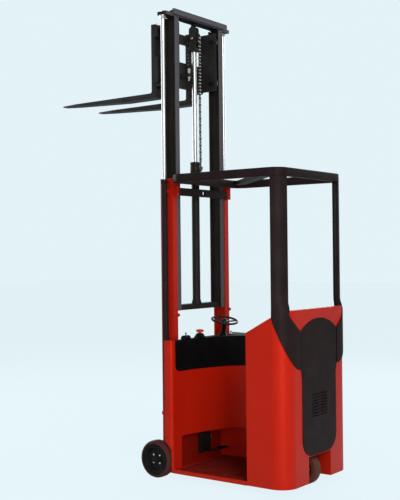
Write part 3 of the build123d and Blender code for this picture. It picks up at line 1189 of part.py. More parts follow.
# Steering wheel on its leaning column
lean_out = sin(radians(STEER_TILT))
steer_axis = Vector(-lean_out * sin(radians(STEER_LEAN)), -lean_out * cos(radians(STEER_LEAN)),
                    cos(radians(STEER_TILT)))
steer_across = Vector(steer_axis.Z, 0, -steer_axis.X).normalized()
steer_plane = Plane((STEER_X, STEER_Y, STEER_Z), x_dir=steer_across, z_dir=steer_axis)
column_length = (STEER_Z - CONSOLE_TOP_Z) / steer_axis.Z
column_foot = steer_plane.offset(-column_length - COLUMN_SUNK)
shaft_low = steer_plane.offset(-STEER_HUB_DEPTH - 6)
with BuildPart() as column:
    with BuildSketch(column_foot):
        Circle(COLUMN_R)
    extrude(amount=column_length + COLUMN_SUNK - STEER_HUB_DEPTH - 2)
    with BuildSketch(shaft_low):
        Circle(STEER_SHAFT_R)
    extrude(amount=STEER_HUB_DEPTH - 4)
    with BuildSketch(column_foot):
        Circle(COLUMN_R + COLUMN_SUNK)
    extrude(amount=2 * COLUMN_SUNK, taper=COLUMN_TAPER)
    below_low = (STEER_X - STEER_R, STEER_Y - STEER_R, CONSOLE_TOP_Z - STEER_R)
    box_between(below_low, (STEER_X + STEER_R, STEER_Y + STEER_R, CONSOLE_TOP_Z), mode=Mode.SUBTRACT)
save(column.part, "steering_column")

with BuildPart() as steering_wheel:
    with BuildSketch(Plane(steer_plane.origin, x_dir=steer_plane.x_dir, z_dir=-steer_plane.y_dir)):
        with Locations((STEER_R - STEER_RIM_R, 0)):
            RegularPolygon(STEER_RIM_R, 8)
    revolve(axis=Axis(steer_plane.origin, steer_plane.z_dir))
    with BuildSketch(steer_plane.offset(-STEER_HUB_DEPTH)):
        Circle(STEER_HUB_R)
    extrude(amount=STEER_HUB_DEPTH)
    with BuildSketch(steer_plane):
        Circle(STEER_KNOB_R)
    extrude(amount=STEER_KNOB_HEIGHT, taper=COLUMN_TAPER)
    with BuildSketch(shaft_low):
        Circle(STEER_SHAFT_R + AXLE_PLAY)
    extrude(amount=STEER_HUB_DEPTH - 2, mode=Mode.SUBTRACT)
    with BuildSketch(steer_plane.offset(-SPOKE_THICK - 2)):
        with PolarLocations(0, 3, start_angle=90):
            with Locations((STEER_R / 2, 0)):
                Rectangle(STEER_R - 2 * STEER_RIM_R, SPOKE_WIDTH)
        Circle(STEER_SHAFT_R + 6, mode=Mode.SUBTRACT)
    extrude(amount=SPOKE_THICK)
save(steering_wheel.part, "steering_wheel")

# Emergency stop
estop_y = (shroud_y(ESTOP_X) + bulkhead_y) / 2
with BuildPart() as estop_base:
    with Locations((ESTOP_X, estop_y, CONSOLE_TOP_Z + ESTOP_BASE_HEIGHT / 2)):
        Cone(ESTOP_BASE_R, ESTOP_BASE_TOP_R, ESTOP_BASE_HEIGHT)
    well_low_z = CONSOLE_TOP_Z + ESTOP_FLOOR
    well_top_z = CONSOLE_TOP_Z + 2 * ESTOP_BASE_HEIGHT
    rod_along_z(ESTOP_X, estop_y, well_low_z, well_top_z, ESTOP_STEM_R + ESTOP_PLAY, mode=Mode.SUBTRACT)
save(estop_base.part, "estop_base")

with BuildPart() as estop:
    head_z = CONSOLE_TOP_Z + ESTOP_BASE_HEIGHT + ESTOP_TRAVEL + 3
    rod_along_z(ESTOP_X, estop_y, well_low_z + ESTOP_TRAVEL + 1, head_z + 2, ESTOP_STEM_R)
    rod_along_z(ESTOP_X, estop_y, head_z, head_z + ESTOP_HEAD_HEIGHT, ESTOP_HEAD_R)
    chamfer(estop.edges().group_by(Axis.Z)[-1], length=ESTOP_HEAD_HEIGHT * 0.4)
save(estop.part, "estop_button")

# Lift lever in its moulded pod
lever_y = (shroud_y(LEVER_X) + bulkhead_y) / 2
pivot_z = CONSOLE_TOP_Z + POD_HEIGHT - 6
with BuildPart() as pod:
    with BuildSketch(Plane.XY.offset(CONSOLE_TOP_Z)):
        with Locations((LEVER_X, lever_y)):
            SlotOverall(POD_LENGTH, POD_WIDTH)
    extrude(amount=POD_HEIGHT)
    chamfer(pod.edges().group_by(Axis.Z)[-1], length=POD_HEIGHT * 0.5)
    slot_low = (LEVER_X - LEVER_SLOT_HALF, lever_y - LEVER_SWING, pivot_z - LEVER_SLOT_HALF)
    slot_high = (LEVER_X + LEVER_SLOT_HALF, lever_y + LEVER_SWING, pivot_z + POD_HEIGHT)
    box_between(slot_low, slot_high, mode=Mode.SUBTRACT)
save(pod.part, "lever_pod")

with BuildPart() as lever:
    hub_half_x = LEVER_SLOT_HALF - 1
    tip_z = pivot_z + LEVER_HEIGHT
    rod_along_x(lever_y, pivot_z, LEVER_X - hub_half_x, LEVER_X + hub_half_x, LEVER_R + 1)
    rod_along_z(LEVER_X, lever_y, pivot_z, tip_z, LEVER_R)
    rod_along_z(LEVER_X, lever_y, tip_z - LEVER_R, tip_z + 2 * LEVER_R, LEVER_R + 3)
    chamfer(lever.edges().group_by(Axis.Z)[-1], length=LEVER_R / 2)
save(lever.part, "lift_lever")

# Key in its switch barrel
with BuildPart() as key:
    rod_along_z(KEY_X, KEY_Y, CONSOLE_TOP_Z - KEY_SHAFT, CONSOLE_TOP_Z + KEY_HEIGHT, KEY_SHAFT_R)
    rod_along_z(KEY_X, KEY_Y, CONSOLE_TOP_Z + 0.3, CONSOLE_TOP_Z + KEY_HEIGHT, KEY_R)
    bow_low_z = CONSOLE_TOP_Z + KEY_HEIGHT - 1
    bow_low = (KEY_X - KEY_BOW / 2, KEY_Y - KEY_BLADE / 2, bow_low_z)
    box_between(bow_low, (KEY_X + KEY_BOW / 2, KEY_Y + KEY_BLADE / 2, bow_low_z + KEY_BOW_HEIGHT))
save(key.part, "key")

# Brake pedal in the toe space: bracket on the bulkhead, arm to the right and pad
bracket_rear_y = bulkhead_rear_y - PEDAL_BRACKET_DEPTH
bracket_top_z = TOE_TOP_Z + PEDAL_BRACKET_DEPTH
bracket_left_x = PEDAL_X - PEDAL_BRACKET_HALF
bracket_right_x = PEDAL_X + PEDAL_BRACKET_HALF
pedal_y = (bracket_rear_y + bulkhead_rear_y) / 2
with BuildPart() as pedal_bracket:
    bracket_low = (bracket_left_x, bracket_rear_y, PEDAL_BRACKET_Z)
    box_between(bracket_low, (bracket_right_x, bulkhead_rear_y, bracket_top_z))
    ear_low_z = PEDAL_PIVOT_Z - PEDAL_HUB_R
    for ear_x in (bracket_left_x, bracket_right_x - PEDAL_EAR):
        ear_high = (ear_x + PEDAL_EAR, bulkhead_rear_y, PEDAL_BRACKET_Z + 1)
        box_between((ear_x, bracket_rear_y, ear_low_z), ear_high)
    rod_along_x(pedal_y, PEDAL_PIVOT_Z, bracket_left_x + 1, bracket_right_x - 1, PEDAL_PIVOT_R)
    rod_x = bracket_right_x + 2 * PEDAL_ROD_R
    rod_low_z = TOE_TOP_Z - 2 * PEDAL_BRACKET_DEPTH
    rod_along_z(rod_x, pedal_y, rod_low_z, bracket_top_z, PEDAL_ROD_R)
    tie_low = (bracket_right_x - 1, pedal_y - PEDAL_ROD_R / 2, rod_low_z + PEDAL_ROD_R)
    box_between(tie_low, (rod_x, pedal_y + PEDAL_ROD_R / 2, bracket_top_z - PEDAL_ROD_R))
save(pedal_bracket.part, "pedal_bracket")

with BuildPart() as pedal:
    hub_left_x = bracket_left_x + PEDAL_EAR + 1
    hub_right_x = bracket_right_x - PEDAL_EAR - 1
    reach_y = pedal_y - PEDAL_REACH
    arm_low_z = PEDAL_PIVOT_Z - PEDAL_HUB_R
    arm_top_z = PEDAL_PIVOT_Z
    pad_low_z = arm_top_z - 5
    rod_along_x(pedal_y, PEDAL_PIVOT_Z, hub_left_x, hub_right_x, PEDAL_HUB_R)
    box_between((hub_right_x - PEDAL_ARM, reach_y, arm_low_z), (hub_right_x, pedal_y, arm_top_z))
    box_between((hub_right_x - PEDAL_ARM, reach_y, arm_low_z), (PEDAL_PAD_X, reach_y + PEDAL_ARM, arm_top_z))
    pad_low = (PEDAL_PAD_X - PEDAL_PAD_HALF, reach_y - PEDAL_ARM, pad_low_z)
    pad_high = (PEDAL_PAD_X + PEDAL_PAD_HALF, reach_y + 2 * PEDAL_ARM, pad_low_z + PEDAL_ARM / 2)
    box_between(pad_low, pad_high)
    pivot_hole_r = PEDAL_PIVOT_R + AXLE_PLAY
    rod_along_x(pedal_y, PEDAL_PIVOT_Z, hub_left_x - 1, hub_right_x + 1, pivot_hole_r, mode=Mode.SUBTRACT)
save(pedal.part, "brake_pedal")
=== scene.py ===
"""Looks for the stand-on narrow-aisle forklift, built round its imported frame.

Sizes in the classes are millimetres in the part's own frame: +X is the truck's right, +Y points
along the forks and +Z is up. Shape.piece turns them into metres. Sizes in the finishes are metres,
as Object coordinates are. A profile is a row of (radius, along) pairs for Shape.lathe.
"""

import json
import logging
import math
from dataclasses import dataclass, replace
from enum import Enum
from functools import cache
from typing import Iterable, Sequence

import bmesh
import bpy
import numpy as np
from mathutils import Matrix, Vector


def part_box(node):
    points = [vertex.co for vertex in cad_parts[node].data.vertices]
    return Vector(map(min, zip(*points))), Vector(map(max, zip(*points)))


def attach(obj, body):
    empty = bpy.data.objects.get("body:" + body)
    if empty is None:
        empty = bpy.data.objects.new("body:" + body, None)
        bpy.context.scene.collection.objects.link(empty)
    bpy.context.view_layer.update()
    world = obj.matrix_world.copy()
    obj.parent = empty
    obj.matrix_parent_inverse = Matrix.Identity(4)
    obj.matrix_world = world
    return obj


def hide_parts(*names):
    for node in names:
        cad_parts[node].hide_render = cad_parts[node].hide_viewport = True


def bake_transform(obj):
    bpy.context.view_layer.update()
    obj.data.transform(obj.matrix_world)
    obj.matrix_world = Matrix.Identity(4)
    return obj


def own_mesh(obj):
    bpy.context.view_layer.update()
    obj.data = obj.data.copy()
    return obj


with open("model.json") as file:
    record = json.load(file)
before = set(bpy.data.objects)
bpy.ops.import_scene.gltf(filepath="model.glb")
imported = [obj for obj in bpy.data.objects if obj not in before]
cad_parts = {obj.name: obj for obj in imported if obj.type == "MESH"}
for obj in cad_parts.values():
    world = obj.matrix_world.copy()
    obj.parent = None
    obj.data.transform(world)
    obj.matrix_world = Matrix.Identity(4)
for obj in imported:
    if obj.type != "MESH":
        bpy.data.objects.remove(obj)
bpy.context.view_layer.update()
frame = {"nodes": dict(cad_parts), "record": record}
RECORD = frame["record"]
BODY_OF = {node: body for body, nodes in RECORD["behaviour"]["bodies"].items() for node in nodes}
SLOT_OF = {row["node"]: row["material_slot"] for row in RECORD["subparts"]}
LOG = logging.getLogger("forklift")
MM = 0.001
TAU = 2 * math.pi
Colour = tuple[float, float, float]
Point = tuple[float, float, float]
Pair = tuple[float, float]
Profile = Sequence[Pair]
X_AXIS, Y_AXIS, Z_AXIS = (1.0, 0.0, 0.0), (0.0, 1.0, 0.0), (0.0, 0.0, 1.0)
LEFTWARDS, BACKWARDS, DOWNWARDS = (-1.0, 0.0, 0.0), (0.0, -1.0, 0.0), (0.0, 0.0, -1.0)
ORIGIN = (0.0, 0.0, 0.0)
SIDES = ((-1, "left"), (1, "right"))
QUADRANTS = ((1, 1), (-1, 1), (-1, -1), (1, -1))
# Metres within which points merge, and under which an edge is dropped
MERGE, SLIVER = 2e-6, 1e-7
# Facets on a rounded edge, and the degrees past which an edge is rounded
BEVEL_STEPS, BEVEL_FROM = 3, 32.0
# Least length that is divided by, and the share of Y past which an axis counts as lying along Y
TINY, STEEP = 1e-9, 0.9
# Profiles of a bolt, in shares of half its width across flats
WASHER = ((0, 0), (1.25, 0), (1.25, 0.22), (0, 0.22))
HEX_HEAD = ((0, 0.2), (1.08, 0.2), (1.08, 0.85), (0.86, 1.02), (0, 1.02))


@dataclass(frozen=True)
class Value:
    """A socket in a node tree: Python's operators on it add Math nodes."""

    tree: "Tree"
    socket: bpy.types.NodeSocket

    def math(self, operation: str, *others: "Value | float") -> "Value":
        """Math node of that operation on this value and the others, in order."""
        return self.tree.math(operation, self, *others)

    def __add__(self, other: "Value | float") -> "Value":
        """Sum."""
        return self.math("ADD", other)

    __radd__ = __add__

    def __sub__(self, other: "Value | float") -> "Value":
        """Difference."""
        return self.math("SUBTRACT", other)

    def __rsub__(self, other: float) -> "Value":
        """A number less this value."""
        return self.tree.math("SUBTRACT", other, self)

    def __mul__(self, other: "Value | float") -> "Value":
        """Product."""
        return self.math("MULTIPLY", other)

    __rmul__ = __mul__

    def clamp(self) -> "Value":
        """Kept between 0 and 1."""
        return self.tree.add("ShaderNodeMath", {"operation": "ADD", "use_clamp": True},
                             {0: self, 1: 0.0})

    def between(self, low: float, high: float) -> "Value":
        """Rises smoothly from 0 at low to 1 at high; low may be the larger."""
        return self.tree.add("ShaderNodeMapRange", {"interpolation_type": "SMOOTHSTEP"},
                             {0: self, 1: low, 2: high, 3: 0.0, 4: 1.0})


class Tree:
    """A node tree that nodes are added to."""

    def __init__(self, tree: bpy.types.NodeTree) -> None:
        """Keeps the tree's nodes and links."""
        self.nodes, self.links = tree.nodes, tree.links

    def add(self, kind: str, settings: dict | None = None, inputs: dict | None = None,
            output: int | str = 0) -> Value:
        """Adds any node.

        Args:
            kind: the node's type name.
            settings: its properties, such as a Math node's operation, which are set first.
            inputs: socket number or name to a number, colour or Value.
            output: number or name of the output that is wanted.

        Returns:
            That output as a Value.
        """
        node = self.nodes.new(kind)
        for key, setting in (settings or {}).items():
            setattr(node, key, setting)
        for key, value in (inputs or {}).items():
            self.feed(node.inputs[key], value)
        return Value(self, node.outputs[output])

    def feed(self, socket: bpy.types.NodeSocket, value: "Value | float | Sequence[float]") -> None:
        """Links a Value to a socket, or sets the socket to a number, vector or colour.

        Args:
            socket: the socket.
            value: what goes in; a colour gets an alpha of 1.
        """
        if isinstance(value, Value):
            self.links.new(value.socket, socket)
        elif isinstance(value, (int, float)):
            socket.default_value = value
        else:
            short = len(socket.default_value) - len(value)
            socket.default_value = (*value, *[1.0] * short)

    def math(self, operation: str, *values: Value | float) -> Value:
        """Math node of that operation on the values, in order."""
        return self.add("ShaderNodeMath", {"operation": operation}, dict(enumerate(values)))

    def ray(self, kind: str) -> Value:
        """1 for light paths of a kind, such as Is Camera Ray, and 0 for the others."""
        return self.add("ShaderNodeLightPath", output=kind)

    def typed(self, kind: str) -> bpy.types.Node:
        """The first node of a type."""
        return next(node for node in self.nodes if node.type == kind)

    def close(self, kind: str, share: Value, first: Value, second: Value) -> None:
        """Links a mix of two shaders by share to the tree's output node, whose type is given."""
        blend = self.add("ShaderNodeMixShader", None, {0: share, 1: first, 2: second})
        self.links.new(blend.socket, self.typed(kind).inputs[0])


class Surface(Tree):
    """One material's node tree round its Principled shader."""

    def __init__(self, name: str) -> None:
        """Makes the material with its shader and Object coordinates.

        Args:
            name: the material's name.
        """
        self.material = bpy.data.materials.new(name)
        self.material.use_nodes = True
        super().__init__(self.material.node_tree)
        self.shader = self.typed("BSDF_PRINCIPLED")
        self.place = self.add("ShaderNodeTexCoord", output="Object")

    def set(self, sockets: dict) -> None:
        """Sets or links the shader's sockets by name."""
        for name, value in sockets.items():
            self.feed(self.shader.inputs[name], value)

    def mix(self, first: Value | Colour, second: Value | Colour, share: Value | float) -> Value:
        """Colour that goes from first to second as share goes from 0 to 1."""
        return self.add("ShaderNodeMix", {"data_type": "RGBA"}, {0: share, 6: first, 7: second},
                        output=2)

    def noise(self, scale: float, detail: float, stretch: Point = (1.0, 1.0, 1.0)) -> Value:
        """Soft noise from 0 to 1 with scale cells to the metre, on stretched coordinates."""
        spot = self.add("ShaderNodeMapping", None, {"Vector": self.place, "Scale": stretch})
        return self.add("ShaderNodeTexNoise", None,
                        {"Vector": spot, "Scale": scale, "Detail": detail})

    def axis(self, name: str) -> Value:
        """One Object coordinate, in metres."""
        return self.add("ShaderNodeSeparateXYZ", None, {0: self.place}, output=name)

    def upward(self) -> Value:
        """How far the surface faces up, from 0 to 1."""
        normal = self.add("ShaderNodeNewGeometry", output="Normal")
        return self.add("ShaderNodeSeparateXYZ", None, {0: normal}, output="Z").clamp()


@dataclass(frozen=True)
class Mask:
    """Noise cut to soft patches: cells to the metre, detail, and where a patch starts and is full.

    share is the mask's strength where it is full, and stretch multiplies the coordinates.
    """

    scale: float
    detail: float
    start: float
    full: float
    share: float = 1.0
    stretch: Point = (1.0, 1.0, 1.0)

    def on(self, surface: Surface) -> Value:
        """The mask on a surface, from 0 to share."""
        cells = surface.noise(self.scale, self.detail, self.stretch)
        return cells.between(self.start, self.full) * self.share


@dataclass(frozen=True)
class Finish:
    """A finish: tone that drifts, roughness that drifts, a fine grain, and dust low down.

    grain is the relief's depth in millimetres, and the scales are cells to the metre.
    """

    colour: Colour
    shade: Colour
    rough: float = 0.45
    drift: float = 0.10
    metallic: float = 0.0
    specular: float = 0.3
    tint: Colour = (1.0, 1.0, 1.0)
    grain: float = 0.06
    grain_scale: float = 700.0
    grain_detail: float = 2.0
    mottle_scale: float = 7.0
    clouds: Mask = Mask(7.0, 5.0, 0.38, 0.66)
    dust: float = 0.0
    dust_colour: Colour = (0.22, 0.19, 0.16)
    dust_mask: Mask = Mask(60.0, 6.0, 0.3, 0.75)
    dust_z: Pair = (0.42, 0.04)
    dust_share: Pair = (0.7, 0.25)
    dust_rough: float = 0.3
    smears: Pair = (22.0, 4.0)
    bump: float = 0.6

    def tone(self, surface: Surface) -> Value:
        """Colour that drifts slowly between the finish's two tones."""
        clouds = replace(self.clouds, scale=self.mottle_scale)
        return surface.mix(self.colour, self.shade, clouds.on(surface))

    def height(self, surface: Surface) -> Value:
        """Relief of the finish, from 0 to 1."""
        return surface.noise(self.grain_scale, self.grain_detail)

    def roughness(self, surface: Surface) -> Value:
        """Roughness that drifts with smears a hand wide."""
        return self.rough + self.drift * (surface.noise(*self.smears) - 0.5)

    def make(self, name: str) -> bpy.types.Material:
        """Builds the finish's material.

        Args:
            name: the material's name.

        Returns:
            The finished material.
        """
        surface = Surface(name)
        tone = self.tone(surface)
        rough = self.roughness(surface)
        if self.dust:
            low, flat = self.dust_share
            lying = surface.axis("Z").between(*self.dust_z) * low + surface.upward() * flat
            film = (lying * self.dust_mask.on(surface) * self.dust).clamp()
            tone = surface.mix(tone, self.dust_colour, film)
            rough = rough + film * self.dust_rough
        relief = surface.add("ShaderNodeBump", None, {
            "Strength": self.bump, "Distance": self.grain * MM, "Height": self.height(surface)})
        surface.set({"Base Color": tone, "Roughness": rough.clamp(), "Normal": relief,
                     "Metallic": self.metallic, "Specular IOR Level": self.specular,
                     "Specular Tint": self.tint})
        return surface.material


@dataclass(frozen=True)
class Enamel(Finish):
    """Sprayed enamel: orange peel, rubbed lighter streaks, scuffs on the floor and sill."""

    rub: Colour = (0.56, 0.035, 0.018)
    rubs: Mask = Mask(30.0, 6.0, 0.62, 0.80, 0.05, (3.0, 3.0, 0.25))
    scuff: Colour = (0.055, 0.018, 0.014)
    scuffs: Mask = Mask(38.0, 7.0, 0.58, 0.74, 0.40, (1.0, 1.0, 2.4))
    scuff_z: Pair = (0.30, 0.06)
    # Painted shade: a dark red on faces inside the toe space, behind a given Y and left of a given
    # X, standing in for the shadow in that recess
    toe_shade: Colour = (0.120, 0.0030, 0.0012)
    toe_shade_share: float = 0.0
    toe_shade_y: Pair = (-0.112, -0.114)
    toe_shade_x: Pair = (0.21, 0.19)

    def tone(self, surface: Surface) -> Value:
        """Slow drift, thin upright rubs, dark scuffs near the floor, painted shade in the toe
        space.

        Args:
            surface: the material's tree.

        Returns:
            The colour.
        """
        base = super().tone(surface)
        # Painted shade inside the toe space
        if self.toe_shade_share:
            across, deep = surface.axis("X"), surface.axis("Y")
            inside = across.between(*self.toe_shade_x) * deep.between(*self.toe_shade_y)
            base = surface.mix(base, self.toe_shade, inside * self.toe_shade_share)
        base = surface.mix(base, self.rub, self.rubs.on(surface))
        low = surface.axis("Z").between(*self.scuff_z)
        return surface.mix(base, self.scuff, self.scuffs.on(surface) * low)


@dataclass(frozen=True)
class PowderCoat(Finish):
    """Baked powder coat: a fine leathery pimple and rubbed patches; ends may have a colour."""

    rub: Colour = (0.060, 0.046, 0.046)
    rubs: Mask = Mask(14.0, 7.0, 0.64, 0.82, 0.10)
    ends: Colour = (0.40, 0.0095, 0.002)
    ends_from: float = 0.0
    ends_edge: float = 0.0005

    def height(self, surface: Surface) -> Value:
        """Rounded pimples about a millimetre and a half across."""
        return surface.add("ShaderNodeTexVoronoi", None,
                           {"Vector": surface.place, "Scale": self.grain_scale})

    def tone(self, surface: Surface) -> Value:
        """Slow drift with rubbed patches, and the ends' colour past ends_from from the middle.

        Args:
            surface: the material's tree.

        Returns:
            The colour.
        """
        base = surface.mix(super().tone(surface), self.rub, self.rubs.on(surface))
        if not self.ends_from:
            return base
        outward = surface.axis("X").math("ABSOLUTE")
        return surface.mix(base, self.ends,
                           outward.between(self.ends_from, self.ends_from + self.ends_edge))


@dataclass(frozen=True)
class HardChrome(Finish):
    """Ground and chromed rod: fine rings along Z and a thin streaked oil film."""

    rings: float = 900.0
    ring_stretch: Point = (0.05, 0.05, 1.0)
    oil: Mask = Mask(25.0, 5.0, 0.5, 0.8, 0.4, (3.0, 3.0, 0.05))
    streaks: Mask = Mask(40.0, 5.0, 0.45, 0.75, 1.0, (2.0, 2.0, 0.06))

    def height(self, surface: Surface) -> Value:
        """Grinding rings about a millimetre apart."""
        return surface.noise(self.rings, self.grain_detail, self.ring_stretch)

    def roughness(self, surface: Surface) -> Value:
        """Smooth, with duller streaks down the rod."""
        return self.rough + self.drift * self.streaks.on(surface)

    def tone(self, surface: Surface) -> Value:
        """Bright metal with a faint brown film in streaks."""
        return surface.mix(self.colour, self.shade, self.oil.on(surface))


@dataclass(frozen=True)
class WornSteel(Finish):
    """Painted steel rubbed bare along the run of the load, with a painted highlight, a paler tone,
    on all that lies behind a given Y.
    """

    bare: Colour = (0.30, 0.28, 0.26)
    bare_share: float = 0.5
    bare_lie: Pair = (0.25, 0.75)
    scratches: Mask = Mask(55.0, 8.0, 0.55, 0.70, 1.0, (4.0, 0.16, 4.0))
    scrape: tuple[float, float, Point] = (70.0, 6.0, (4.0, 0.2, 4.0))
    # Painted highlight: a paler tone on all that lies behind a given Y, for faces that look back
    # and catch the light
    rear_highlight: Colour = (0.080, 0.074, 0.084)
    rear_highlight_from: float = 0.0
    rear_highlight_edge: float = 0.001

    def tone(self, surface: Surface) -> Value:
        """Paint with long scratches, bare patches where it looks up, and the painted highlight
        behind.

        Args:
            surface: the material's tree.

        Returns:
            The colour.
        """
        base = super().tone(surface)
        # Painted highlight on what lies behind the given Y
        if self.rear_highlight_from:
            behind = surface.axis("Y").between(self.rear_highlight_from, self.rear_highlight_from - self.rear_highlight_edge)
            base = surface.mix(base, self.rear_highlight, behind)
        always, looking_up = self.bare_lie
        worn = self.scratches.on(surface) * (always + surface.upward() * looking_up)
        return surface.mix(base, self.bare, worn * self.bare_share)

    def roughness(self, surface: Surface) -> Value:
        """Scratched metal is duller across the run."""
        return self.rough + self.drift * (surface.noise(*self.scrape) - 0.5)


@dataclass(frozen=True)
class Tread(Finish):
    """Solid rubber: grit pressed in, and a reddish-brown band past a given radius from the axle,
    partly scrubbing and partly a painted reflection of the red body.
    """

    # Reddish-brown band colour: partly scrubbing, partly a painted reflection of the red body on
    # the tyre's outer part
    worn: Colour = (0.062, 0.018, 0.016)
    red_band_from: float = 0.0
    red_band_edge: float = 0.012
    axle_z: float = 0.135
    specks: Mask = Mask(420.0, 2.0, 0.64, 0.74, 0.35)
    scuffs: Pair = (120.0, 6.0)
    grit: Pair = (900.0, 2.0)
    grit_share: float = 0.3

    def tone(self, surface: Surface) -> Value:
        """Drift with paler grit specks; past a given radius from its axle the tyre is reddish
        brown, partly scrubbing and partly a painted reflection of the red body.

        Args:
            surface: the material's tree.

        Returns:
            The colour.
        """
        base = super().tone(surface)
        if self.red_band_from:
            along, up = surface.axis("Y"), surface.axis("Z") - self.axle_z
            radius = (along * along + up * up).math("SQRT")
            red_band = radius.between(self.red_band_from, self.red_band_from + self.red_band_edge)
            base = surface.mix(base, self.worn, red_band)
        return surface.mix(base, self.dust_colour, self.specks.on(surface))

    def height(self, surface: Surface) -> Value:
        """Scuffs with finer grit over them."""
        coarse, fine = surface.noise(*self.scuffs), surface.noise(*self.grit)
        return coarse * (1 - self.grit_share) + fine * self.grit_share


@dataclass(frozen=True)
class Moulding(Finish):
    """Injection moulding: an even spark-eroded stipple."""

    def height(self, surface: Surface) -> Value:
        """Stipple about a millimetre across."""
        return surface.add("ShaderNodeTexVoronoi", {"feature": "SMOOTH_F1"},
                           {"Vector": surface.place, "Scale": self.grain_scale})


RED = Enamel((0.390, 0.0095, 0.002), (0.366, 0.0080, 0.002), rough=0.46, drift=0.08, specular=1.0,
             tint=(1.0, 0.10, 0.06), grain=0.04, grain_scale=420.0, mottle_scale=2.5, dust=0.03)
COAT = PowderCoat((0.0130, 0.0070, 0.0072), (0.0170, 0.0095, 0.0095), rough=0.44, drift=0.14,
                  specular=0.05, grain=0.10, grain_scale=620.0)
FINISHES: dict[str, Finish] = {
    "red_paint": RED,
    # Red with painted shade on the bulkhead's face inside the toe space
    "toe_shaded_red": replace(RED, toe_shade_share=0.85),
    "dark_coat": COAT,
    "bar_coat": replace(COAT, ends_from=0.3035),
    # mast_grey paints a highlight on the uprights' rear faces and on the top bar's facing
    "mast_grey": WornSteel((0.0120, 0.0095, 0.0080), (0.0170, 0.0140, 0.0120), rough=0.42,
                           drift=0.20, specular=0.08, bare_share=0.03, rear_highlight_from=-0.0985),
    "fork_black": WornSteel((0.0170, 0.0145, 0.0145), (0.0250, 0.0220, 0.0215), rough=0.44,
                            drift=0.24, specular=0.12, bare_share=0.22),
    # chain_steel paints a bright highlight on the rear strand's back edges
    "chain_steel": WornSteel((0.014, 0.0125, 0.011), (0.024, 0.021, 0.019), rough=0.38, drift=0.22,
                             specular=0.2, grain=0.04, mottle_scale=90.0, bare_share=0.05,
                             rear_highlight=(0.56, 0.54, 0.51), rear_highlight_from=-0.1072),
    "black_plastic": Moulding((0.0022, 0.0021, 0.0022), (0.0034, 0.0032, 0.0033), rough=0.50,
                              specular=0.035, grain=0.12, grain_scale=900.0, dust=0.02),
    "wheel_plastic": Moulding((0.0040, 0.0040, 0.0042), (0.0060, 0.0058, 0.0058), rough=0.36,
                              specular=0.12, grain=0.08, grain_scale=1300.0),
    "red_plastic": Moulding((0.50, 0.014, 0.010), (0.44, 0.011, 0.009), rough=0.30, specular=0.2,
                            grain=0.03, grain_scale=900.0),
    "floor_rubber": Tread((0.175, 0.0085, 0.0038), (0.130, 0.0068, 0.0032), rough=0.72,
                          specular=0.04, grain=0.4, dust=0.06),
    # black_tyre paints a reddish reflection, with scrubbing, on the tyre's outer band
    "black_tyre": Tread((0.0050, 0.0042, 0.0042), (0.0078, 0.0062, 0.0060), rough=0.64,
                        specular=0.05, grain=0.5, dust=0.02, red_band_from=0.108),
    "brown_tread": Tread((0.085, 0.022, 0.012), (0.066, 0.018, 0.010), rough=0.48, specular=0.12,
                         grain=0.3, dust=0.08),
    "rod_chrome": HardChrome((0.41, 0.40, 0.395), (0.30, 0.28, 0.26), rough=0.27, drift=0.16,
                             metallic=1.0, grain=0.012),
    "bare_steel": Finish((0.58, 0.56, 0.53), (0.44, 0.41, 0.38), rough=0.32, drift=0.2,
                         metallic=1.0, grain=0.03, mottle_scale=60.0),
    "pin_zinc": Finish((0.50, 0.49, 0.47), (0.40, 0.39, 0.37), rough=0.36, drift=0.2, metallic=0.2,
                       grain=0.03, mottle_scale=60.0),
    "black_iron": Finish((0.0060, 0.0055, 0.0056), (0.0095, 0.0085, 0.0082), rough=0.5, drift=0.2,
                         specular=0.08, grain=0.2, grain_scale=300.0),
    "motor_case": Finish((0.030, 0.031, 0.033), (0.044, 0.044, 0.044), rough=0.5, specular=0.15,
                         grain=0.2, grain_scale=260.0, dust=0.2),
    "alloy": Finish((0.50, 0.50, 0.50), (0.40, 0.39, 0.38), rough=0.42, metallic=0.9, grain=0.1,
                    grain_scale=350.0),
    "battery_block": Finish((0.018, 0.019, 0.022), (0.030, 0.030, 0.032), rough=0.5, specular=0.15,
                            grain=0.15, grain_scale=240.0, dust=0.15),
}
# front_bulkhead takes the red with the painted toe-space shade
SHADED_NODES = {"front_bulkhead": "toe_shaded_red", "mast_head_bar": "bar_coat",
                "pedal_bracket": "black_iron", "brake_pedal": "black_iron"}


@cache
def material_of(finish: str) -> bpy.types.Material:
    """The one material of a finish, made when it is first asked for."""
    return FINISHES[finish].make(finish)


class Lie(Enum):
    """Which axes an outline's two numbers and its depth run along."""

    XY = (0, 1, 2)
    YZ = (1, 2, 0)
    XZ = (0, 2, 1)

    def place(self, first: np.ndarray, second: np.ndarray, depth: np.ndarray | float) -> np.ndarray:
        """Points whose outline numbers and depth go to this lie's axes."""
        spread = np.stack(np.broadcast_arrays(first, second, depth), axis=-1)
        return spread[..., np.argsort(self.value)]


def arc(centre: Sequence[float], radius: float, start: float, end: float, steps: int) -> np.ndarray:
    """Points on a circle: centre plus radius times the cosine and sine of evenly spaced degrees."""
    turn = np.radians(np.linspace(start, end, steps + 1))
    return np.column_stack([centre[0] + radius * np.cos(turn), centre[1] + radius * np.sin(turn)])


def rounded(width: float, height: float, radius: float, steps: int = 5) -> np.ndarray:
    """Rectangle about the origin whose corners are quarter circles, as a closed outline.

    Args:
        width: its first size.
        height: its second size.
        radius: of the corners.
        steps: facets on each corner.

    Returns:
        Points with shape (4 * (steps + 1), 2).
    """
    reach = np.array([width / 2 - radius, height / 2 - radius])
    corners = zip(QUADRANTS, (0, 90, 180, 270))
    return np.concatenate([arc(reach * way, radius, t, t + 90, steps) for way, t in corners])


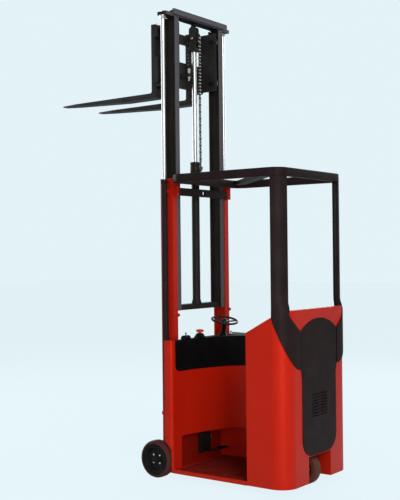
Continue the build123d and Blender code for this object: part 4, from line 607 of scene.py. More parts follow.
def moved_in(outline: np.ndarray, distance: float) -> np.ndarray:
    """Closed outline with every point moved inwards along the mean of its two sides' normals.

    A sharp corner's point moves further than its sides, but no more than twice as far.

    Args:
        outline: points with shape (n, 2), anticlockwise.
        distance: how far each side moves.

    Returns:
        The moved points.
    """
    side = np.roll(outline, -1, axis=0) - outline
    side /= np.maximum(np.linalg.norm(side, axis=1, keepdims=True), TINY)
    normal = np.column_stack([-side[:, 1], side[:, 0]])
    both = normal + np.roll(normal, 1, axis=0)
    both /= np.maximum(np.linalg.norm(both, axis=1, keepdims=True), TINY)
    stretch = np.clip(np.sum(both * normal, axis=1, keepdims=True), 0.5, 1.0)
    return outline + distance * both / stretch


def stacked(levels: Iterable[tuple[np.ndarray, float]]) -> np.ndarray:
    """Rings with shape (levels, points, 3) from plan outlines, each at its own height."""
    return np.stack([np.column_stack([plan, np.full(len(plan), z)]) for plan, z in levels])


def bar(radius: float, low: float, high: float) -> Profile:
    """Profile of a plain round bar from along low to along high."""
    return (0, low), (radius, low), (radius, high), (0, high)


def mirrored(half: Profile, end: float = 0.0) -> Profile:
    """Half a profile and its mirror image, whose alongs are end less those of the half."""
    return (*half, *((radius, end - along) for radius, along in reversed(half)))


class Shape:
    """Collects numpy surfaces and makes one mesh piece of them."""

    def __init__(self) -> None:
        """Starts with no points and no faces."""
        self.points: list[np.ndarray] = []
        self.faces: list[np.ndarray] = []
        self.caps: list[np.ndarray] = []
        self.count = 0

    def put(self, points: np.ndarray) -> int:
        """Adds points.

        Args:
            points: an array whose last axis is 3.

        Returns:
            The number of the first point added.
        """
        start = self.count
        self.points.append(points.reshape(-1, 3))
        self.count += points.size // 3
        return start

    def grid(self, surface: np.ndarray, close_u: bool = False, close_v: bool = False,
             keep: np.ndarray | None = None) -> "Shape":
        """Adds a surface given as a grid of points, whose outer side is du cross dv.

        Args:
            surface: points with shape (nu, nv, 3).
            close_u: joins the last row to the first.
            close_v: joins the last column to the first.
            keep: which cells stay, with one number for each cell.

        Returns:
            This shape.
        """
        nu, nv = surface.shape[:2]
        start = self.put(surface)
        u, v = np.ix_(np.arange(nu - (not close_u)), np.arange(nv - (not close_v)))
        ring = [((u + i) % nu) * nv + (v + j) % nv for i, j in ((0, 0), (1, 0), (1, 1), (0, 1))]
        cells = start + np.stack(ring, axis=-1)
        self.faces.append(cells.reshape(-1, 4) if keep is None else cells[keep])
        return self

    def loft(self, rings: np.ndarray, capped: bool = True) -> "Shape":
        """Skins closed rings.

        Args:
            rings: points with shape (k, m, 3).
            capped: closes the first and the last ring.

        Returns:
            This shape.
        """
        start = self.count
        self.grid(rings, close_v=True)
        if capped:
            k, m = rings.shape[:2]
            self.caps += [start + np.arange(m)[::-1], start + (k - 1) * m + np.arange(m)]
        return self

    def prism(self, outline: np.ndarray, low: float, high: float, lie: Lie = Lie.XY) -> "Shape":
        """Carries a flat closed outline straight from depth low to depth high."""
        levels = np.array([[low], [high]])
        return self.loft(lie.place(outline[None, :, 0], outline[None, :, 1], levels))

    def box(self, low: Point, high: Point) -> "Shape":
        """Straight block between its lowest and highest corners."""
        (x0, y0, z0), (x1, y1, z1) = low, high
        return self.prism(np.array([(x0, y0), (x1, y0), (x1, y1), (x0, y1)]), z0, z1)

    def lathe(self, profile: Profile, centre: Point, axis: Point, steps: int,
              closed: bool = False) -> "Shape":
        """Turns a profile about an axis through centre.

        A point is centre plus along times the axis plus radius times a unit vector round it.

        Args:
            profile: the (radius, along) pairs from end to end, or once round a closed section.
            centre: a point on the axis from which along is measured.
            axis: the axis' direction.
            steps: how many facets go round.
            closed: joins the profile's end to its start.

        Returns:
            This shape.
        """
        profile = np.asarray(profile, float)
        axis = np.asarray(axis, float) / np.linalg.norm(axis)
        first = np.cross(axis, Y_AXIS if abs(axis[1]) < STEEP else Z_AXIS)
        first /= np.linalg.norm(first)
        angle = np.arange(steps) * TAU / steps
        out = np.cos(angle)[:, None] * first + np.sin(angle)[:, None] * np.cross(axis, first)
        spots = np.asarray(centre, float) + profile[:, 1, None] * axis
        rings = spots[:, None, :] + profile[:, 0, None, None] * out[None]
        if closed:
            return self.grid(rings, True, True)
        return self.loft(rings, capped=profile[0, 0] > 0)

    def sweep(self, section: np.ndarray, path: np.ndarray, up: Point,
              closed: bool = False) -> "Shape":
        """Carries a section along a path.

        Args:
            section: its (side, rise) points; side is square to the path and to up.
            path: points with shape (n, 3).
            up: the direction of rise.
            closed: joins the path's end to its start.

        Returns:
            This shape.
        """
        ahead = np.roll(path, -1, axis=0) - np.roll(path, 1, axis=0)
        if not closed:
            ahead[0], ahead[-1] = path[1] - path[0], path[-1] - path[-2]
        up = np.asarray(up, float)
        side = np.cross(ahead, up)
        side /= np.linalg.norm(side, axis=1, keepdims=True)
        rings = path[:, None] + section[None, :, :1] * side[:, None] + section[None, :, 1:] * up
        return self.grid(rings, True, True) if closed else self.loft(rings)

    def join(self, other: "Shape") -> "Shape":
        """Takes in another shape.

        Args:
            other: the shape whose points and faces are added.

        Returns:
            This shape.
        """
        start = self.put(np.concatenate(other.points))
        self.faces += [face + start for face in other.faces]
        self.caps += [cap + start for cap in other.caps]
        return self

    def copies(self, offsets: np.ndarray) -> "Shape":
        """Repeats all that has been collected.

        Args:
            offsets: one move with shape (3,) for each repeat.

        Returns:
            This shape.
        """
        points, many = np.concatenate(self.points), len(offsets)
        jump = (np.arange(many) * len(points))[:, None, None]
        self.points = [(points[None] + np.asarray(offsets, float)[:, None]).reshape(-1, 3)]
        self.faces = [(face[None] + jump).reshape(-1, 4) for face in self.faces]
        self.caps = [ring for cap in self.caps for ring in cap[None] + jump[:, 0]]
        self.count = many * len(points)
        return self

    def mesh(self, name: str, outward: bool) -> bpy.types.Mesh:
        """Makes a clean mesh of what has been collected.

        Args:
            name: the mesh's name.
            outward: turns all faces outward, as a closed shape needs.

        Returns:
            The mesh, in metres.
        """
        mesh = bpy.data.meshes.new(name)
        cells = [face for block in self.faces for face in block.tolist()]
        mesh.from_pydata((np.concatenate(self.points) * MM).tolist(), [],
                         cells + [cap.tolist() for cap in self.caps])
        work = bmesh.new()
        work.from_mesh(mesh)
        bmesh.ops.remove_doubles(work, verts=work.verts, dist=MERGE)
        bmesh.ops.dissolve_degenerate(work, edges=work.edges, dist=SLIVER)
        if outward:
            bmesh.ops.recalc_face_normals(work, faces=work.faces)
        work.to_mesh(mesh)
        work.free()
        return mesh

    def piece(self, name: str, nodes: Sequence[str] = (), body: str = "", slot: str = "",
              wall: float = 0.0, bevel: float = 0.0, smooth: float = 38.0,
              stretch: tuple[str, str, Point, Point] | None = None,
              look: str = "") -> bpy.types.Object:
        """Makes the mesh object, dresses it and hangs it on its body.

        Args:
            name: the piece's name.
            nodes: CAD nodes that it stands for; body and slot come from the first.
            body: the body it rides on, where it stands for no node.
            slot: the finish, where it differs from the node's.
            wall: thickness given to an open sheet, inwards.
            bevel: width of the rounding on sharp edges.
            smooth: degrees past which an edge stays sharp.
            stretch: two bodies and two points, which are not used; where it is given, the piece's
                transform is baked into its mesh instead of hanging it on its body.
            look: a finish of its own, where the slot's doesn't serve.

        Returns:
            The finished object.
        """
        body = body or BODY_OF[nodes[0]]
        slot = slot or SLOT_OF[nodes[0]]
        mesh = self.mesh(name, outward=not wall)
        mesh.materials.append(material_of(look or slot))
        thing = bpy.data.objects.new(name, mesh)
        bpy.context.scene.collection.objects.link(thing)
        if wall:
            sheet = thing.modifiers.new("wall", "SOLIDIFY")
            sheet.thickness, sheet.offset, sheet.use_even_offset = wall * MM, -1.0, True
            graph = bpy.context.evaluated_depsgraph_get()
            thing.data = bpy.data.meshes.new_from_object(thing.evaluated_get(graph))
            thing.modifiers.clear()
            bpy.data.meshes.remove(mesh)
        thing.data.name = name
        thing.data.shade_smooth()
        thing.data.set_sharp_from_angle(angle=math.radians(smooth))
        if bevel:
            edge = thing.modifiers.new("edge", "BEVEL")
            edge.width, edge.segments, edge.limit_method = bevel * MM, BEVEL_STEPS, "ANGLE"
            edge.angle_limit, edge.harden_normals = math.radians(BEVEL_FROM), True
        if stretch:
            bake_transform(thing)
        else:
            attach(thing, body)
        if nodes:
            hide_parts(*nodes)
        LOG.info("%s rides on %s in %s", name, body, slot)
        return thing


def turned(name: str, profile: Profile, centre: Point, axis: Point = Z_AXIS, steps: int = 48,
           closed: bool = False, **dress: object) -> bpy.types.Object:
    """Piece of one turned profile; dress goes to Shape.piece as it is."""
    return Shape().lathe(profile, centre, axis, steps, closed).piece(name, **dress)


def hex_bolts(spots: Iterable[Point], axis: Point, across: float) -> Shape:
    """Hexagon heads on washers.

    Args:
        spots: where the washers lie.
        axis: the direction in which the heads stand out.
        across: the heads' width.

    Returns:
        A shape of all the heads.
    """
    bolt = Shape().lathe(np.multiply(WASHER, across / 2), ORIGIN, axis, 24)
    bolt.lathe(np.multiply(HEX_HEAD, across / 2), ORIGIN, axis, 6)
    return bolt.copies(np.array(list(spots), float))


@dataclass
class Well:
    """Plan line of the operator's well and the console's heights, for shroud and console."""

    half: float = 430.0
    leg_y: float = -143.0
    corner_r: float = 25.0
    arc_r: float = 1300.0
    knee_x: float = 95.0
    wall_x: float = 210.0
    jamb_y: float = -789.0
    lap: float = 8.0
    console_z: Pair = (772.0, 1000.0)

    def __post_init__(self) -> None:
        """Works out where the curve's two arcs meet and end, and where console and wall lap."""
        self.start_x = -self.half + self.corner_r
        self.knee = math.asin((self.knee_x - self.start_x) / self.arc_r)
        self.knee_y = self.leg_y - self.arc_r * (1 - math.cos(self.knee))
        self.bend_r = (self.wall_x - self.knee_x) / (1 - math.sin(self.knee))
        self.end_y = self.knee_y - self.bend_r * math.cos(self.knee)
        self.lap_y = self.end_y - self.lap

    def bend(self, outset: float = 0.0) -> np.ndarray:
        """The tight arc after the knee, without its first point, moved forward by outset."""
        centre = (self.wall_x - self.bend_r, self.end_y)
        return arc(centre, self.bend_r + outset, 90 - math.degrees(self.knee), 0, 20)[1:]

    def curve(self, start_x: float, outset: float = 0.0) -> np.ndarray:
        """Two tangent arcs from start_x to the right wall.

        Args:
            start_x: where the line starts on the wide arc.
            outset: how far it is moved forward.

        Returns:
            Points with shape (n, 2).
        """
        first = math.degrees(math.asin((start_x - self.start_x) / self.arc_r))
        centre = (self.start_x, self.leg_y - self.arc_r)
        wide = arc(centre, self.arc_r + outset, 90 - first, 90 - math.degrees(self.knee), 24)
        return np.concatenate([wide, self.bend(outset)])

    def back_y(self, x: np.ndarray) -> np.ndarray:
        """Rear face at x on the wide arc: the circle's centre plus its height there."""
        return self.leg_y - self.arc_r + np.sqrt(self.arc_r ** 2 - (x - self.start_x) ** 2)


@dataclass
class Bodywork:
    """Red sheet body: rear shell and front shroud.

    recess and access are the drive wheel's and the cover's openings: half width and heights, and
    for the recess its depth.
    """

    well: Well
    sheet: float = 4.0
    rear_y: float = -1112.0
    front_y: float = -790.0
    corner_r: float = 125.0
    bottom_z: float = 50.0
    middle_z: float = 600.0
    top_z: float = 1240.0
    slope_y: float = -1075.0
    jamb_z: float = 1085.0
    recess: Point = (150.0, 230.0, -1018.0)
    access: Point = (200.0, 270.0, 1064.0)
    lip_y: float = -1082.0
    floor_z: float = 66.0
    toe_z: float = 300.0
    toe_return: float = 24.0
    toe_start: float = 0.5
    leg_x: float = -320.0
    wing_y: float = -75.0
    side_y: float = -600.0
    wheel_x: float = -378.0
    arch_r: float = 150.0
    arch_behind: float = 13.0
    axle_z: float = 135.0
    strip_x: float = -386.0
    notch_r: float = 50.0
    belt_z: float = 536.0
    cap_y: float = -85.0
    cap_gap: float = 0.2
    bulkhead_y: float = -115.2
    hair: float = 0.1
    sunk: float = 1.0
    edge: float = 0.8
    shell_edge: float = 3.0
    smooth: float = 30.0

    def roof_z(self, y: np.ndarray) -> np.ndarray:
        """Height of the shell's top: level behind, then falling straight to the jamb."""
        rise = (self.top_z - self.jamb_z) / (self.front_y - self.slope_y)
        return self.top_z - rise * np.maximum(y - self.slope_y, 0.0)

    def rear_shell(self) -> None:
        """Walls on a plan line by height grid without its openings, and a ruled roof.

        The plan line runs from the left jamb round both rear corners to the right jamb.
        """
        half, r = self.well.half, self.corner_r
        side_y = np.linspace(self.front_y, self.rear_y + r, 9)[:-1]
        left = np.concatenate([np.column_stack([np.full(len(side_y), -half), side_y]),
                               arc((-half + r, self.rear_y + r), r, 180, 270, 24)])
        (opening_x, low_z, high_z), (recess_x, recess_z, _) = self.access, self.recess
        middle = np.array([-opening_x, -recess_x, recess_x, opening_x])
        back = np.column_stack([middle, np.full(len(middle), self.rear_y)])
        path = np.concatenate([left, back, left[::-1] * (-1, 1)])
        rows = (self.bottom_z, recess_z, low_z, self.middle_z, high_z)
        heights = np.column_stack([np.tile(rows, (len(path), 1)), self.roof_z(path[:, 1])])
        walls = Lie.XY.place(path[:, :1], path[:, 1:], heights)
        cell_x, cell_y = (path[1:] + path[:-1]).T / 2
        behind = cell_y < self.rear_y + self.hair
        keep = np.ones((len(cell_x), len(rows)), bool)
        keep[(abs(cell_x) < recess_x) & behind, 0] = False
        keep[np.ix_((abs(cell_x) < opening_x) & behind, [2, 3])] = False
        across = np.concatenate([[-1.0], middle / (half - r), [1.0]])
        roof = Lie.XY.place(-left[:, :1] * across, left[:, 1:], self.roof_z(left[:, 1:]))
        Shape().grid(walls, keep=keep).grid(roof).piece(
            "rear_shell_skin", ["rear_shell"], wall=self.sheet, bevel=self.shell_edge,
            smooth=self.smooth)

    def shell_returns(self) -> None:
        """Edges of the drive wheel's recess, turned in."""
        (x, z, deep_y), t, rear_y = self.recess, self.sheet, self.rear_y + self.sheet
        returns = Shape().box((-x, rear_y, z), (x, self.lip_y, z + t))
        for left_x in (-x - t, x):
            returns.box((left_x, rear_y, self.bottom_z), (left_x + t, deep_y, z + t))
        returns.piece("rear_shell_returns", body="truck", slot="red_paint", bevel=self.edge)

    def front_shroud(self) -> None:
        """Sheet down the wing, round the leg, along the curve and back beside the battery.

        Columns stand where the cut-outs' edges are, so that every edge follows the grid: the
        wheel arch, the toe space and the console's notch with its round corner.
        """
        w, (low_z, high_z), r = self.well, self.well.console_z, self.notch_r
        leg = (w.start_x, w.leg_y + w.corner_r)
        wing_y = np.linspace(self.wing_y, leg[1], 7)[:-1]
        split = math.degrees(math.acos(1 - (self.wheel_x - self.strip_x) / r))
        turn = np.radians([*np.linspace(0, split, 5), *np.linspace(split, 90, 6)[1:]])
        wide = np.concatenate([self.strip_x + r * (1 - np.cos(turn)),
                               np.linspace(self.leg_x, w.knee_x, 18)])
        wall_y = (w.lap_y, self.side_y, w.jamb_y)
        x, y = np.concatenate([np.column_stack([np.full(len(wing_y), -w.half), wing_y]),
                               arc(leg, w.corner_r, 180, 270, 8),
                               np.column_stack([wide, w.back_y(wide)]), w.bend(),
                               np.column_stack([np.full(len(wall_y), w.wall_x), wall_y])]).T
        arch = self.axle_z + np.sqrt(np.maximum(self.arch_r ** 2 - y ** 2, 0.0))
        beside = arch[np.argmin(abs(x - self.wheel_x))]
        notch = low_z + r - np.sqrt(r ** 2 - np.clip(x - self.strip_x - r, -r, 0.0) ** 2)
        flat = np.ones(len(x))
        rows = [np.where(x < self.wheel_x - self.hair, self.bottom_z, self.floor_z),
                np.where(x < self.wheel_x + self.hair, arch, beside), self.toe_z * flat,
                self.belt_z * flat, notch, high_z * flat]
        cell_x, cell_y = (x[1:] + x[:-1]) / 2, (y[1:] + y[:-1]) / 2
        behind, on_leg = cell_y < w.end_y, cell_x < self.leg_x
        under = np.where(cell_x < self.wheel_x, cell_y < w.leg_y + self.arch_behind, on_leg)
        keep = np.ones((len(cell_x), len(rows) - 1), bool)
        keep[:, 0] = behind | under
        keep[:, 1] = behind | on_leg
        keep[:, 4] = (cell_x < self.strip_x) | (cell_y < w.lap_y)
        sheet = Lie.XY.place(x[:, None], y[:, None], np.column_stack(rows))
        Shape().grid(sheet, keep=keep).piece("front_shroud_skin", ["front_shroud"], wall=self.sheet,
                                             bevel=self.edge, smooth=self.smooth)

    def shroud_returns(self) -> None:
        """Edges of the toe space, turned in, and the cap on top of the leg."""
        w, t, top = self.well, self.sheet, self.well.console_z[1]
        inner, outer = (w.curve(self.leg_x, out) for out in (self.toe_start, self.toe_return))
        lines = ((inner, self.toe_z), (outer, self.toe_z),
                 (outer, self.toe_z + t), (inner, self.toe_z + t))
        trim = Shape().loft(stacked(lines).swapaxes(0, 1))
        leg_y = float(w.back_y(np.array(self.leg_x)))
        trim.box((self.leg_x - t, leg_y + self.sunk, self.floor_z),
                 (self.leg_x, leg_y + self.toe_return, self.toe_z))
        trim.box((w.wall_x, w.end_y - self.sunk, self.floor_z),
                 (w.wall_x + t, self.bulkhead_y, self.toe_z))
        corner = arc((w.start_x, w.leg_y + w.corner_r), w.corner_r - t, 180, 270, 8)
        cap = np.concatenate([[(-w.half + t, self.cap_y)], corner,
                              [(self.strip_x, w.leg_y + t), (self.strip_x, self.cap_y)]])
        trim.prism(cap, top - t, top - self.cap_gap)
        trim.piece("front_shroud_returns", body="truck", slot="red_paint", bevel=self.edge)

    def build(self) -> None:
        """Builds both sheets with their returns."""
        self.rear_shell()
        self.shell_returns()
        self.front_shroud()
        self.shroud_returns()


@dataclass
class OverheadGuard:
    """Welded loop with its diagonal bar, and two bent posts whose feet wrap the rear corners."""

    half: float = 440.0
    rear_y: float = -1085.0
    front_y: float = -132.0
    top_z: float = 2200.0
    rail: Pair = (40.0, 60.0)
    rail_r: float = 7.0
    corner_r: float = 100.0
    bar_thick: float = 30.0
    bar_drop: float = 8.0
    bar_run: float = 56.0
    weld: float = 4.0
    shell: Pair = (-305.0, -987.0)
    shell_r: float = 125.0
    skin: float = 8.0
    gap: float = 0.6
    seam_x: Pair = (-250.0, -369.5)
    seam_z: Pair = (1094.0, 1209.0)
    seam_power: float = 1.4
    flare: Pair = (187.27, 370.0)
    foot_turn: Pair = (241.0, 186.0)
    post: Pair = (-340.0, -985.0)
    post_r: Pair = (100.0, 80.0)
    post_turn: Pair = (264.0, 190.0)
    post_z: float = 1300.0
    post_sunk: float = 1.0
    edge: float = 2.5

    def loop(self) -> None:
        """Rounded rail carried round a rounded rectangle, and a bar from corner to corner."""
        wide, tall = self.rail
        plan = rounded(2 * self.half - wide, self.front_y - self.rear_y - wide,
                       self.corner_r - wide / 2, 14)
        plan += (0.0, (self.front_y + self.rear_y) / 2)
        path = np.column_stack([plan, np.full(len(plan), self.top_z - tall / 2)])
        guard = Shape().sweep(rounded(wide, tall, self.rail_r, 4), path, Z_AXIS, closed=True)
        x, run = self.half - wide + self.weld, self.bar_run
        front, rear = self.front_y - wide + self.weld, self.rear_y + wide - self.weld
        bar = np.array([(x, front - run), (x, front), (x - run, front),
                        (-x, rear + run), (-x, rear), (run - x, rear)])
        top = self.top_z - self.bar_drop
        guard.prism(bar, top - self.bar_thick, top)
        guard.piece("overhead_guard_frame", ["overhead_guard"], bevel=3.0)

    def along(self, x: np.ndarray) -> np.ndarray:
        """Distance on the foot's outline from where the shell's corner starts.

        Args:
            x: places across the truck.

        Returns:
            The distances, negative on the straight.
        """
        r = self.shell_r + self.skin
        past = self.shell[0] - x
        return np.where(past < 0, past, r * np.arcsin(np.clip(past / r, 0.0, 1.0)))

    def wrapped(self, along: np.ndarray, out: float) -> np.ndarray:
        """Points on the shell's outline: straight on the back, then round the corner.

        Args:
            along: distances from where the corner starts.
            out: how far the points are moved outwards.

        Returns:
            Plan points with along's shape and a last axis of 2.
        """
        bend = np.maximum(along, 0.0) / (self.shell_r + self.skin)
        r = self.shell_r + out
        return np.stack([self.shell[0] - np.minimum(along, 0.0) - r * np.sin(bend),
                         self.shell[1] - r * np.cos(bend)], axis=-1)

    def nose(self, first: np.ndarray, last: np.ndarray, ahead: np.ndarray) -> np.ndarray:
        """Soft edge between two faces' ends: half an ellipse that bulges ahead.

        Args:
            first: the first face's end at each level.
            last: the last face's end at each level.
            ahead: the way in which the edge bulges.

        Returns:
            Plan points with shape (levels, 5, 2).
        """
        turn = np.radians([30.0, 60.0, 90.0, 120.0, 150.0])[None, :, None]
        ahead = self.edge * ahead / np.linalg.norm(ahead, axis=-1, keepdims=True)
        middle, arm = (first + last) / 2, (first - last) / 2
        return middle[:, None] + np.cos(turn) * arm[:, None] + np.sin(turn) * ahead[:, None]

    def post_rings(self) -> np.ndarray:
        """Closed plan outlines of the left post from the tip of its foot up to the rail.

        Below the foot's top the plate runs along the shell, from the seam beside the cover to an
        outer line that is a quarter ellipse. Above it, the plate is a ring sector whose centre,
        radii and angles ease to the post's.

        Returns:
            Points with shape (levels, points round, 3).
        """
        share = np.linspace(0.0, 1.0, 26)
        (wide, tall), (seam_x, seam_end), (tip_z, foot_z) = self.flare, self.seam_x, self.seam_z
        turn = np.radians(np.linspace(88, 0, 36))
        low_z = foot_z - tall * np.sin(turn)
        rise = np.clip((low_z - tip_z) / (foot_z - tip_z), 0.0, 1.0)
        seam = seam_x + (seam_end - seam_x) * (1 - (1 - rise) ** self.seam_power)
        start = self.along(seam)[:, None]
        run = start + (self.along(seam_x - wide * np.cos(turn))[:, None] - start) * share
        rail_z = self.top_z - self.rail[1] + self.post_sunk
        high_z = np.append(np.linspace(foot_z, self.post_z, 13)[1:], rail_z)
        ease = np.clip((high_z - foot_z) / (self.post_z - foot_z), 0, 1)[:, None]
        ease = ease * ease * (3 - 2 * ease)
        centre = np.array(self.shell) + ease * (np.array(self.post) - self.shell)
        foot, top = (a + (b - a) * share for a, b in (self.foot_turn, self.post_turn))
        angle = np.radians(foot + ease * (top - foot))
        spoke = np.stack([np.cos(angle), np.sin(angle)], axis=-1)
        faces = []
        for out, post_r in zip((self.skin, self.gap), self.post_r):
            foot_r = self.shell_r + out
            radius = foot_r + ease * (post_r - foot_r)
            sector = centre[:, None] + radius[..., None] * spoke
            faces.append(np.concatenate([self.wrapped(run, out), sector]))
        outer, inner = faces
        far = self.nose(outer[:, -1], inner[:, -1], outer[:, -1] - outer[:, -2])
        near = self.nose(inner[:, 0], outer[:, 0], outer[:, 0] - outer[:, 1])
        plan = np.concatenate([outer, far, inner[:, ::-1], near], axis=1)
        return stacked(zip(plan, np.concatenate([low_z, high_z])))

    def build(self) -> None:
        """Builds the loop and both posts; the right one is the left one mirrored."""
        self.loop()
        for side, word in SIDES:
            post = Shape().loft(self.post_rings() * (-side, 1, 1))
            post.piece(f"guard_post_{word}_plate", [f"guard_post_{word}"], smooth=50.0)


@dataclass
class Console:
    """Moulded console with its controls; their profiles stand on its top."""

    well: Well
    left_x: float = -385.0
    right_x: float = 425.0
    front_y: float = -111.0
    corner_r: float = 50.0
    edge_r: float = 10.0
    steer: Point = (135.0, -215.0, 1116.0)
    steer_axis: Point = (-0.0906, -0.2243, 0.9703)
    rim: Pair = (97.0, 8.0)
    spoke: Point = (20.0, 7.0, 3.2)
    spoke_r: Pair = (20.0, 94.0)
    spoke_sag: Pair = (-8.0, 6.0)
    hub: Profile = ((0, -23.5), (24, -23.5), (26, -20), (26, -6), (24, -2), (17, 0.5), (15, 2),
                    (14, 8), (12, 13), (8, 15.4), (0, 16))
    boot: Profile = ((0, -4), (36, -4), (35, 3), (29, 11), (24, 13), (23, 19), (20, 21), (19, 27),
                     (17, 29))
    boot_top: Profile = ((17, -26), (0, -26))
    shaft: Profile = bar(7.9, -30, -24)
    stop: Pair = (-91.0, -146.2)
    stop_cone: Profile = ((0, 0), (46, 0), (46, 2), (42, 6), (27, 27), (24, 32), (13, 32),
                          (12.3, 31), (12.3, 6), (0, 6))
    stop_head: Profile = ((0, 15), (12, 15), (12, 41), (22, 41), (27, 43), (29.5, 47), (29.8, 50),
                          (28, 55), (22, 59), (12, 60.6), (0, 61))
    lever: Pair = (-244.0, -132.0)
    pod: Point = (95.0, 46.0, 22.9)
    pod_dome: Pair = (17.0, 26.0)
    pivot_z: float = 1020.0
    stick: Profile = ((0, 1), (4, 1), (3.4, 16), (5, 18), (6.9, 21), (6.9, 24), (5, 26.5), (0, 27))
    stick_pin: Profile = bar(5, -7, 7)
    key: Pair = (235.0, -200.0)
    key_ring: Profile = ((12.6, 0.2), (19, 0.2), (19, 3), (16.5, 6), (12.6, 6))
    key_barrel: Profile = ((0, -12), (4.9, -12), (4.9, 0.4), (11.8, 0.4), (11.8, 9), (10.6, 10),
                           (0, 10))
    bow: Point = (19.0, 20.0, 8.0)
    bow_rise: float = 21.5
    bow_half: float = 1.6

    def outline(self, left_x: float) -> np.ndarray:
        """Closed plan line along the well's curve and round the right side.

        Args:
            left_x: where its left end stands.

        Returns:
            Points with shape (n, 2).
        """
        w = self.well
        return np.concatenate([[(left_x, self.front_y)], w.curve(left_x),
                               [(w.wall_x, w.lap_y), (self.right_x, w.lap_y),
                                (self.right_x, self.front_y)]])

    def top(self) -> None:
        """Stacked outlines: the left end swings out round a corner, and the top edge rolls over."""
        (low, high), r, edge = self.well.console_z, self.corner_r, self.edge_r
        swing, roll = (np.radians(np.linspace(0, 90, steps)) for steps in (10, 7))
        whole = self.outline(self.left_x)
        levels = [(self.outline(self.left_x + r * (1 - math.sin(t))), low + r * (1 - math.cos(t)))
                  for t in swing]
        levels += [(moved_in(whole, edge * (1 - math.cos(t))), high - edge * (1 - math.sin(t)))
                   for t in roll]
        Shape().loft(stacked(levels)).piece("console_moulding", ["console"], smooth=45.0)

    def steering(self) -> None:
        """Rim, three dished spokes and a domed hub on a tilted axis, over the column's boot."""
        axis, middle = np.array(self.steer_axis), np.array(self.steer)
        flat = np.cross(Y_AXIS, axis)
        flat /= np.linalg.norm(flat)
        rim_r, bead = self.rim
        wheel = Shape().lathe(arc((rim_r, 0), bead, 0, 360, 20)[:-1], middle, axis, 96, closed=True)
        wheel.lathe(self.hub, middle, axis, 48)
        share = np.linspace(0, 1, 12)[:, None]
        reach = self.spoke_r[0] + (self.spoke_r[1] - self.spoke_r[0]) * share
        sag = self.spoke_sag[0] + self.spoke_sag[1] * share ** 2
        for turn in np.radians([90.0, 210.0, 330.0]):
            out = math.cos(turn) * flat + math.sin(turn) * np.cross(axis, flat)
            wheel.sweep(rounded(*self.spoke, 4), middle + reach * out + sag * axis, axis)
        wheel.piece("steering_wheel_rim", ["steering_wheel"], smooth=45.0)
        foot = -(self.steer[2] - self.well.console_z[1]) / self.steer_axis[2]
        boot = (*((r, foot + along) for r, along in self.boot), *self.boot_top)
        column = Shape().lathe(boot, middle, axis, 48).lathe(self.shaft, middle, axis, 24)
        column.piece("steering_column_boot", ["steering_column"])

    def controls(self) -> None:
        """Emergency stop on its cone, domed lever pod with its stick, and the key in its bezel."""
        top = self.well.console_z[1]
        turned("estop_cone", self.stop_cone, (*self.stop, top), nodes=["estop_base"])
        turned("estop_head", self.stop_head, (*self.stop, top), nodes=["estop_button"], smooth=50.0)
        slot, (inset, rise) = rounded(*self.pod, 9) + self.lever, self.pod_dome
        dome = stacked((moved_in(slot, inset * (1 - math.cos(t))), top + rise * math.sin(t))
                       for t in np.radians(np.linspace(0, 88, 9)))
        Shape().loft(dome).piece("lever_pod_dome", ["lever_pod"], smooth=60.0)
        pivot = (*self.lever, self.pivot_z)
        lever = Shape().lathe(self.stick, pivot, Z_AXIS, 24)
        lever.lathe(self.stick_pin, pivot, X_AXIS, 24).piece("lift_lever_stick", ["lift_lever"])
        spot = (*self.key, top)
        turned("key_bezel", self.key_ring, spot, steps=36, closed=True, body="truck",
               slot="black_iron")
        bow, y = rounded(*self.bow, 6) + (self.key[0], top + self.bow_rise), self.key[1]
        key = Shape().lathe(self.key_barrel, spot, Z_AXIS, 32)
        key.prism(bow, y - self.bow_half, y + self.bow_half, Lie.XZ)
        key.piece("key_bow", ["key"], bevel=0.6)

    def build(self) -> None:
        """Builds the console and what stands on it."""
        self.top()
        self.steering()
        self.controls()


